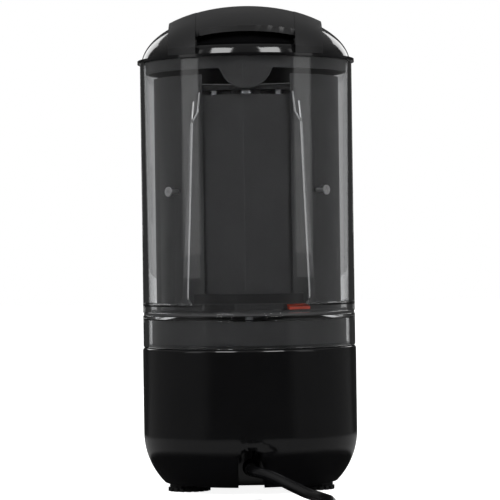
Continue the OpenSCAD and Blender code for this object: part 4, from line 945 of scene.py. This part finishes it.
# ---- cord
@dataclass
class MainsCord:
    """The mains cord from the strain relief to the plug.

    The diameter is in metres, and the places are in millimetres from the press's axis. A
    climb goes from one number of turns to another.
    """

    diameter: float = 7.5 * MM
    coil_x: float = -2.0
    coil_y: float = 296.0
    coil_outer: float = 48.8
    coil_inner: float = 41.3
    coil_low: float = 3.8
    coil_high: float = 11.3
    coil_turns: float = 3.25
    coil_steps: int = 59
    inward: Flat = (0.76, 0.94)
    upward: Flat = (1.78, 1.98)
    outward: Flat = (2.76, 2.94)
    plug_x: float = 26.0
    plug_z: float = 10.0
    tie_top: float = 15.1
    tie_share: float = 0.3
    route: list[Point] = field(default_factory=lambda: [
        (0, 60.2, 17.5), (0, 63, 17.5), (-0.6, 69.2, 17.5), (-2.2, 75.3, 17.5), (-4.8, 81, 17.4),
        (-7.6, 85.2, 17.1), (-10.5, 88.5, 16.6), (-15, 93, 15.2), (-20, 98, 13.3),
        (-25, 103, 11.1), (-30, 108, 9), (-35, 113, 7), (-39, 117, 5.8), (-44.2, 123.5, 4.6),
        (-47.8, 130.3, 4), (-50, 137.7, 3.8), (-50.7, 145.3, 3.8), (-50.8, 160, 3.8),
        (-50.8, 180, 3.8), (-50.8, 200, 3.8), (-50.8, 220, 3.8), (-50.8, 240, 3.8),
        (-50.8, 258, 3.8), (-50.8, 272, 3.8),
    ])

    def coil_points(self) -> list[Point]:
        """Wind the coil clockwise from the side where the cord arrives.

        Returns:
            The points along its turns.
        """
        step_in = self.coil_outer - self.coil_inner
        points = []
        for step in range(1, self.coil_steps + 1):
            turn = self.coil_turns * step / self.coil_steps
            radius = self.coil_outer - step_in * ease(turn, *self.inward)
            radius += step_in * ease(turn, *self.outward)
            climb = self.coil_high - self.coil_low
            height = self.coil_low + climb * ease(turn, *self.upward)
            angle = math.pi - turn * 2.0 * math.pi
            points.append((self.coil_x + radius * math.cos(angle),
                           self.coil_y + radius * math.sin(angle), height))
        return points

    def centre_line(self) -> list[Vector]:
        """Lay the cord from the strain relief through the coil to the plug.

        Returns:
            The points along its middle in metres.
        """
        end_y = self.coil_y + self.coil_outer
        tail = [(self.coil_x + 9, end_y, 11.1), (self.plug_x - 8, end_y, 10.3),
                (self.plug_x, end_y, self.plug_z)]
        points = self.route + self.coil_points() + tail
        return [Vector((x * MM, y * MM + AXIS_Y, z * MM)) for x, y, z in points]

    def build(self) -> Piece:
        """Build the cord as one curve.

        Returns:
            The cord.
        """
        points = self.centre_line()
        curve = bpy.data.curves.new("mains_cord", "CURVE")
        curve.dimensions = "3D"
        curve.bevel_depth = 1.0  # each knot's radius is then the cord's own
        curve.bevel_resolution = 4
        curve.resolution_u = 5
        curve.use_fill_caps = True
        spline = curve.splines.new("BEZIER")
        spline.bezier_points.add(len(points) - 1)
        for knot, place in zip(spline.bezier_points, points):
            knot.co = place
            knot.radius = self.diameter / 2
            knot.handle_left_type = knot.handle_right_type = "AUTO"
        cord = bpy.data.objects.new("mains_cord", curve)
        bpy.context.collection.objects.link(cord)
        bpy.context.view_layer.update()
        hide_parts("power_cord", "cord_coil")
        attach(cord, "base")
        return cord

    def flatten_tie(self, tie: Piece) -> None:
        """Pull the tie's band down on the coil.

        Args:
            tie: the tie.
        """
        coil_top = self.tie_top * MM
        for vertex in tie.data.vertices:
            if vertex.co.z > coil_top:
                vertex.co.z = coil_top + (vertex.co.z - coil_top) * self.tie_share

    def declare(self) -> None:
        """Work out the cord's first point; nothing is kept of it.
        """
        tuple(self.centre_line()[0])


# ---- studio
@dataclass(frozen=True)
class SoftBox:
    """One kind of soft box, which hangs on both sides of the press.

    The azimuth is in degrees from the cord's side, lengths are in metres, and the power is
    in watts.
    """

    name: str
    azimuth: float
    height: float
    distance: float
    size: Flat
    power: float
    aim_z: float

    def hang(self, side: int, label: str) -> None:
        """Hang one box that points at the press.

        Args:
            side: 1 for the box at +X, -1 for the one at -X.
            label: that side's name.
        """
        name = f"{self.name}_{label}"
        data = bpy.data.lights.new(name, "AREA")
        data.shape = "RECTANGLE"
        data.size, data.size_y = self.size
        data.energy = self.power
        lamp = bpy.data.objects.new(name, data)
        bpy.context.collection.objects.link(lamp)
        angle = math.radians(side * self.azimuth)
        spot = Vector((math.sin(angle) * self.distance,
                       AXIS_Y + math.cos(angle) * self.distance, self.height))
        aim = Vector((0.0, AXIS_Y, self.aim_z)) - spot
        turn = aim.to_track_quat("-Z", "Y").to_matrix().to_4x4()
        lamp.matrix_world = Matrix.Translation(spot) @ turn


@dataclass
class Studio:
    """Camera, floor, soft boxes and surround.

    Lengths are in metres. The levels are how bright the surround is: to gloss surfaces
    (mirror, ceiling, flank, chamber, sweep), as a light (fill) and through both walls.
    """

    distance: float = 1.75
    height: float = 0.167
    lens: float = 178.9
    view_end: float = 100.0
    roll_degrees: float = -0.8
    axis_offset_px: float = -1.8
    picture_px: float = 500.0
    fill_level: float = 0.45
    mirror_level: float = 0.03
    ceiling_level: float = 0.26
    ceiling_rise: Flat = (0.1, 0.7)
    through_level: float = 0.42
    wall_crossings: float = 3.5
    flank_level: float = 0.12
    flank_rise: Flat = (0.42, 0.56)
    chamber_level: float = 0.4
    floor_size: float = 12.0
    floor_colour: Colour = (0.8, 0.8, 0.8)
    floor_roughness: float = 0.9
    floor_glow: float = 0.9
    # how dark the painted contact shadow on the floor is to mirrors, and how far out its edge
    # runs
    contact_shadow_level: float = 0.12
    contact_shadow_rise: float = 1.35
    sweep_mirror_level: float = 0.26
    sweep_near: float = 0.115
    sweep_far: float = 0.3
    sweep_fall: float = 1.9
    backdrop_half_degrees: float = 5.0
    backdrop_edge_degrees: float = 11.0
    boxes: tuple[SoftBox, ...] = (
        SoftBox("upper_box", 29.0, 1.15, 1.3, (0.55, 0.5), 8.0, 0.2),
        SoftBox("front_box", 150.0, 0.7, 1.3, (0.45, 0.5), 1.7, 0.18),
        SoftBox("side_box", 62.0, 0.66, 1.25, (0.45, 1.05), 1.1, 0.66),
    )

    def place_camera(self) -> None:
        """Place the camera behind the press, where the cord leaves it."""
        data = bpy.data.cameras.new("camera")
        data.lens = self.lens
        data.clip_end = self.view_end
        data.shift_x = -self.axis_offset_px / self.picture_px
        camera = bpy.data.objects.new("camera", data)
        bpy.context.collection.objects.link(camera)
        eye = Vector((0.0, AXIS_Y + self.distance, self.height))
        turn = Matrix.Rotation(math.pi, 4, "Z") @ Matrix.Rotation(math.pi / 2, 4, "X")
        turn = turn @ Matrix.Rotation(math.radians(self.roll_degrees), 4, "Z")
        camera.matrix_world = Matrix.Translation(eye) @ turn
        bpy.context.scene.camera = camera

    def around_level(self, nodes: Nodes, place: Socket) -> Socket:
        """Tell how bright gloss surfaces see the surround, with lighter flanks.

        Args:
            nodes: the nodes to count with.
            place: a place or direction.

        Returns:
            The level there.
        """
        split = nodes.add("SeparateXYZ", {"Vector": place})
        across, along = nodes.math("ABSOLUTE", split["X"]), nodes.math("ABSOLUTE", split["Y"])
        share = nodes.math("DIVIDE", across, nodes.math("ADD", across, along))
        flanks = nodes.step(share, *self.flank_rise)
        return nodes.between(flanks, self.mirror_level, self.flank_level)

    def past_walls(self, nodes: Nodes) -> Socket:
        """Return 1 for the rays that crossed both clear walls, each with two surfaces."""
        path = nodes.add("LightPath")
        return nodes.math("GREATER_THAN", path["Transmission Depth"], self.wall_crossings)

    def seen_level(self, nodes: Nodes) -> Socket:
        """Return how bright the surround is seen, dimmer past both clear walls."""
        return nodes.between(self.past_walls(nodes), 1.0, self.through_level)

    def ray_kinds(self, nodes: Nodes) -> tuple[Socket, Socket, Socket]:
        """Tell rays that come straight or through glass from those off a mirror.

        Args:
            nodes: the nodes to count with.

        Returns:
            Three sockets: 1 for rays from the camera, straight or through glass; 1 for rays
            that a gloss surface sent on and no matt one did; and 1 for those of the latter
            that left the clear chamber.
        """
        path = nodes.add("LightPath")
        half_bounce = 0.5
        matt_free = nodes.math("LESS_THAN", path["Diffuse Depth"], half_bounce)
        mirrored = nodes.math("GREATER_THAN", path["Glossy Depth"], half_bounce)
        glossy = nodes.times(mirrored, matt_free)
        straight = nodes.highest(path["Is Camera Ray"], path["Is Transmission Ray"])
        direct = nodes.math("LESS_THAN", path["Glossy Depth"], half_bounce)
        seen = nodes.times(nodes.times(straight, matt_free), direct)
        return seen, glossy, nodes.times(glossy, self.past_walls(nodes))

    def lay_floor(self) -> None:
        """Lay a white floor that keeps the press's soft shadow.

        To mirrors the floor glows in a painted pattern: a painted contact shadow close round the
        press, a brighter ring just past it as from a small sweep table, and lighter flanks.
        """
        deselect_all()
        bpy.ops.mesh.primitive_plane_add(size=self.floor_size)
        floor = bpy.context.object
        floor.name = "studio_floor"
        material, nodes, shader = new_material("studio_floor")
        nodes.feed(shader, {"Base Color": (*self.floor_colour, 1.0),
                            "Roughness": self.floor_roughness, "Specular IOR Level": 0.0})
        place = nodes.add("TexCoord")["Object"]
        away = nodes.add("VectorMath", {0: place}, operation="LENGTH")["Value"]
        dark = self.around_level(nodes, place)
        contact = nodes.step(away, self.sweep_near, self.sweep_near * self.contact_shadow_rise)
        fade = nodes.step(away, self.sweep_far * self.sweep_fall, self.sweep_far)
        bright = nodes.between(nodes.times(contact, fade), 0.0, self.sweep_mirror_level)
        # painted contact shadow: close round the press the floor's glow to mirrors drops to a
        # small share
        shade = nodes.between(contact, self.contact_shadow_level, 1.0)
        level = nodes.times(nodes.highest(dark, bright), shade)
        seen, glossy, inside = self.ray_kinds(nodes)
        level = nodes.highest(level, nodes.between(inside, 0.0, self.chamber_level))
        glow = nodes.glow(nodes.math("MULTIPLY", self.seen_level(nodes), self.floor_glow))
        matt = shader.outputs["BSDF"]
        lit = nodes.add("AddShader", {0: matt, 1: glow})["Shader"]
        both = nodes.blend(glossy, nodes.blend(seen, matt, lit), nodes.glow(level))
        nodes.feed(nodes.tree.nodes["Material Output"], {"Surface": both})
        dress(floor, material)

    def light_surround(self) -> None:
        """Make the surround white to the camera, dim as a light, and dark to mirrors.

        Mirrors see white only straight across the press, where the backdrop stands.
        """
        world = bpy.data.worlds.new("studio")
        bpy.context.scene.world = world
        world.use_nodes = True
        nodes = Nodes(world.node_tree)
        place = nodes.add("TexCoord")["Generated"]
        split = nodes.add("SeparateXYZ", {"Vector": place})
        edge, half = (-math.cos(math.radians(degrees)) for degrees in
                      (self.backdrop_edge_degrees, self.backdrop_half_degrees))
        backdrop = nodes.step(split["Y"], edge, half)
        around = self.around_level(nodes, place)
        seen, glossy, inside = self.ray_kinds(nodes)
        ceiling = nodes.step(split["Z"], *self.ceiling_rise)
        around = nodes.highest(around, nodes.between(ceiling, 0.0, self.ceiling_level))
        level = nodes.highest(backdrop, around)
        level = nodes.highest(level, nodes.between(inside, 0.0, self.chamber_level))
        unseen = nodes.choose(glossy, self.fill_level, level)
        final = nodes.choose(seen, unseen, self.seen_level(nodes))
        nodes.feed(world.node_tree.nodes["Background"],
                   {"Strength": final, "Color": (1.0, 1.0, 1.0, 1.0)})

    def set_up(self) -> None:
        """Set up the whole studio."""
        self.place_camera()
        self.lay_floor()
        self.light_surround()
        for side, label in ((-1, "right"), (1, "left")):
            for box in self.boxes:
                box.hang(side, label)
        bpy.context.scene.view_settings.view_transform = "Standard"
        log.info("studio: set up")


# ---- dressing
@dataclass
class CarriedPieces:
    """The CAD nodes that keep their shape, and get smooth faces and a finish."""

    materials: dict[str, Material]
    made_anew: tuple[str, ...] = ("lead_screw", "power_cord", "cord_coil", "chamber_shell",
                                  "door_panel", "collector_ring", "lid_skirt")
    left_alone: tuple[str, ...] = ("button_spring",)
    own_finish: dict[str, str] = field(default_factory=lambda: {"shell_screws": "bright_steel"})
    smooth_degrees: float = 28.0
    flat_degrees: float = 0.3

    def smooth_copy(self, name: str) -> Piece:
        """Copy a node, merge its triangles and shade its round faces smooth.

        Args:
            name: the node's name.

        Returns:
            The copy, at the origin.
        """
        deselect_all()
        node = frame["nodes"][name]
        node.select_set(True)
        bpy.context.view_layer.objects.active = node
        bpy.ops.object.duplicate()
        piece = bpy.context.object
        piece.name = f"{name}_dressed"
        piece.parent = None
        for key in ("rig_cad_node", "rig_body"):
            if key in piece:
                del piece[key]
        edit_whole()
        bpy.ops.mesh.remove_doubles(threshold=MERGE_DISTANCE)
        bpy.ops.mesh.dissolve_limited(angle_limit=math.radians(self.flat_degrees))
        bpy.ops.object.mode_set(mode="OBJECT")
        smooth(piece, self.smooth_degrees)
        return piece

    def dress_all(self) -> dict[str, Piece]:
        """Give every node that isn't made anew its smooth copy and the finish of its slot.

        Returns:
            The smooth copies by their node's name.
        """
        made = {}
        for name, slot in SLOT_OF.items():
            dress(frame["nodes"][name], self.materials[slot])
            if name in self.made_anew + self.left_alone:
                continue
            piece = self.smooth_copy(name)
            dress(piece, self.materials[self.own_finish.get(name, slot)])
            stand_for(piece, name)
            made[name] = piece
        return made


def main() -> None:
    """Build, dress and light everything."""
    logging.basicConfig(level=logging.INFO, format="%(message)s")
    Studio().set_up()
    materials = {slot: finish.make() for slot, finish in FINISHES.items()}
    mains = MainsCord()
    cord = mains.build()
    dress(cord, materials["cord_jacket"])
    ClearChamber(materials["clear_plastic"], materials["grey_plastic"]).build()
    # a dark strip that paints the shade at the tower's foot
    TowerFootShade(materials["satin_black"]).build()
    LeadScrew(materials["steel"]).build()
    pieces = CarriedPieces(materials).dress_all()
    mains.flatten_tie(pieces["cord_tie"])
    mains.declare()
    bpy.context.view_layer.update()


if __name__ == "__main__":
    main()
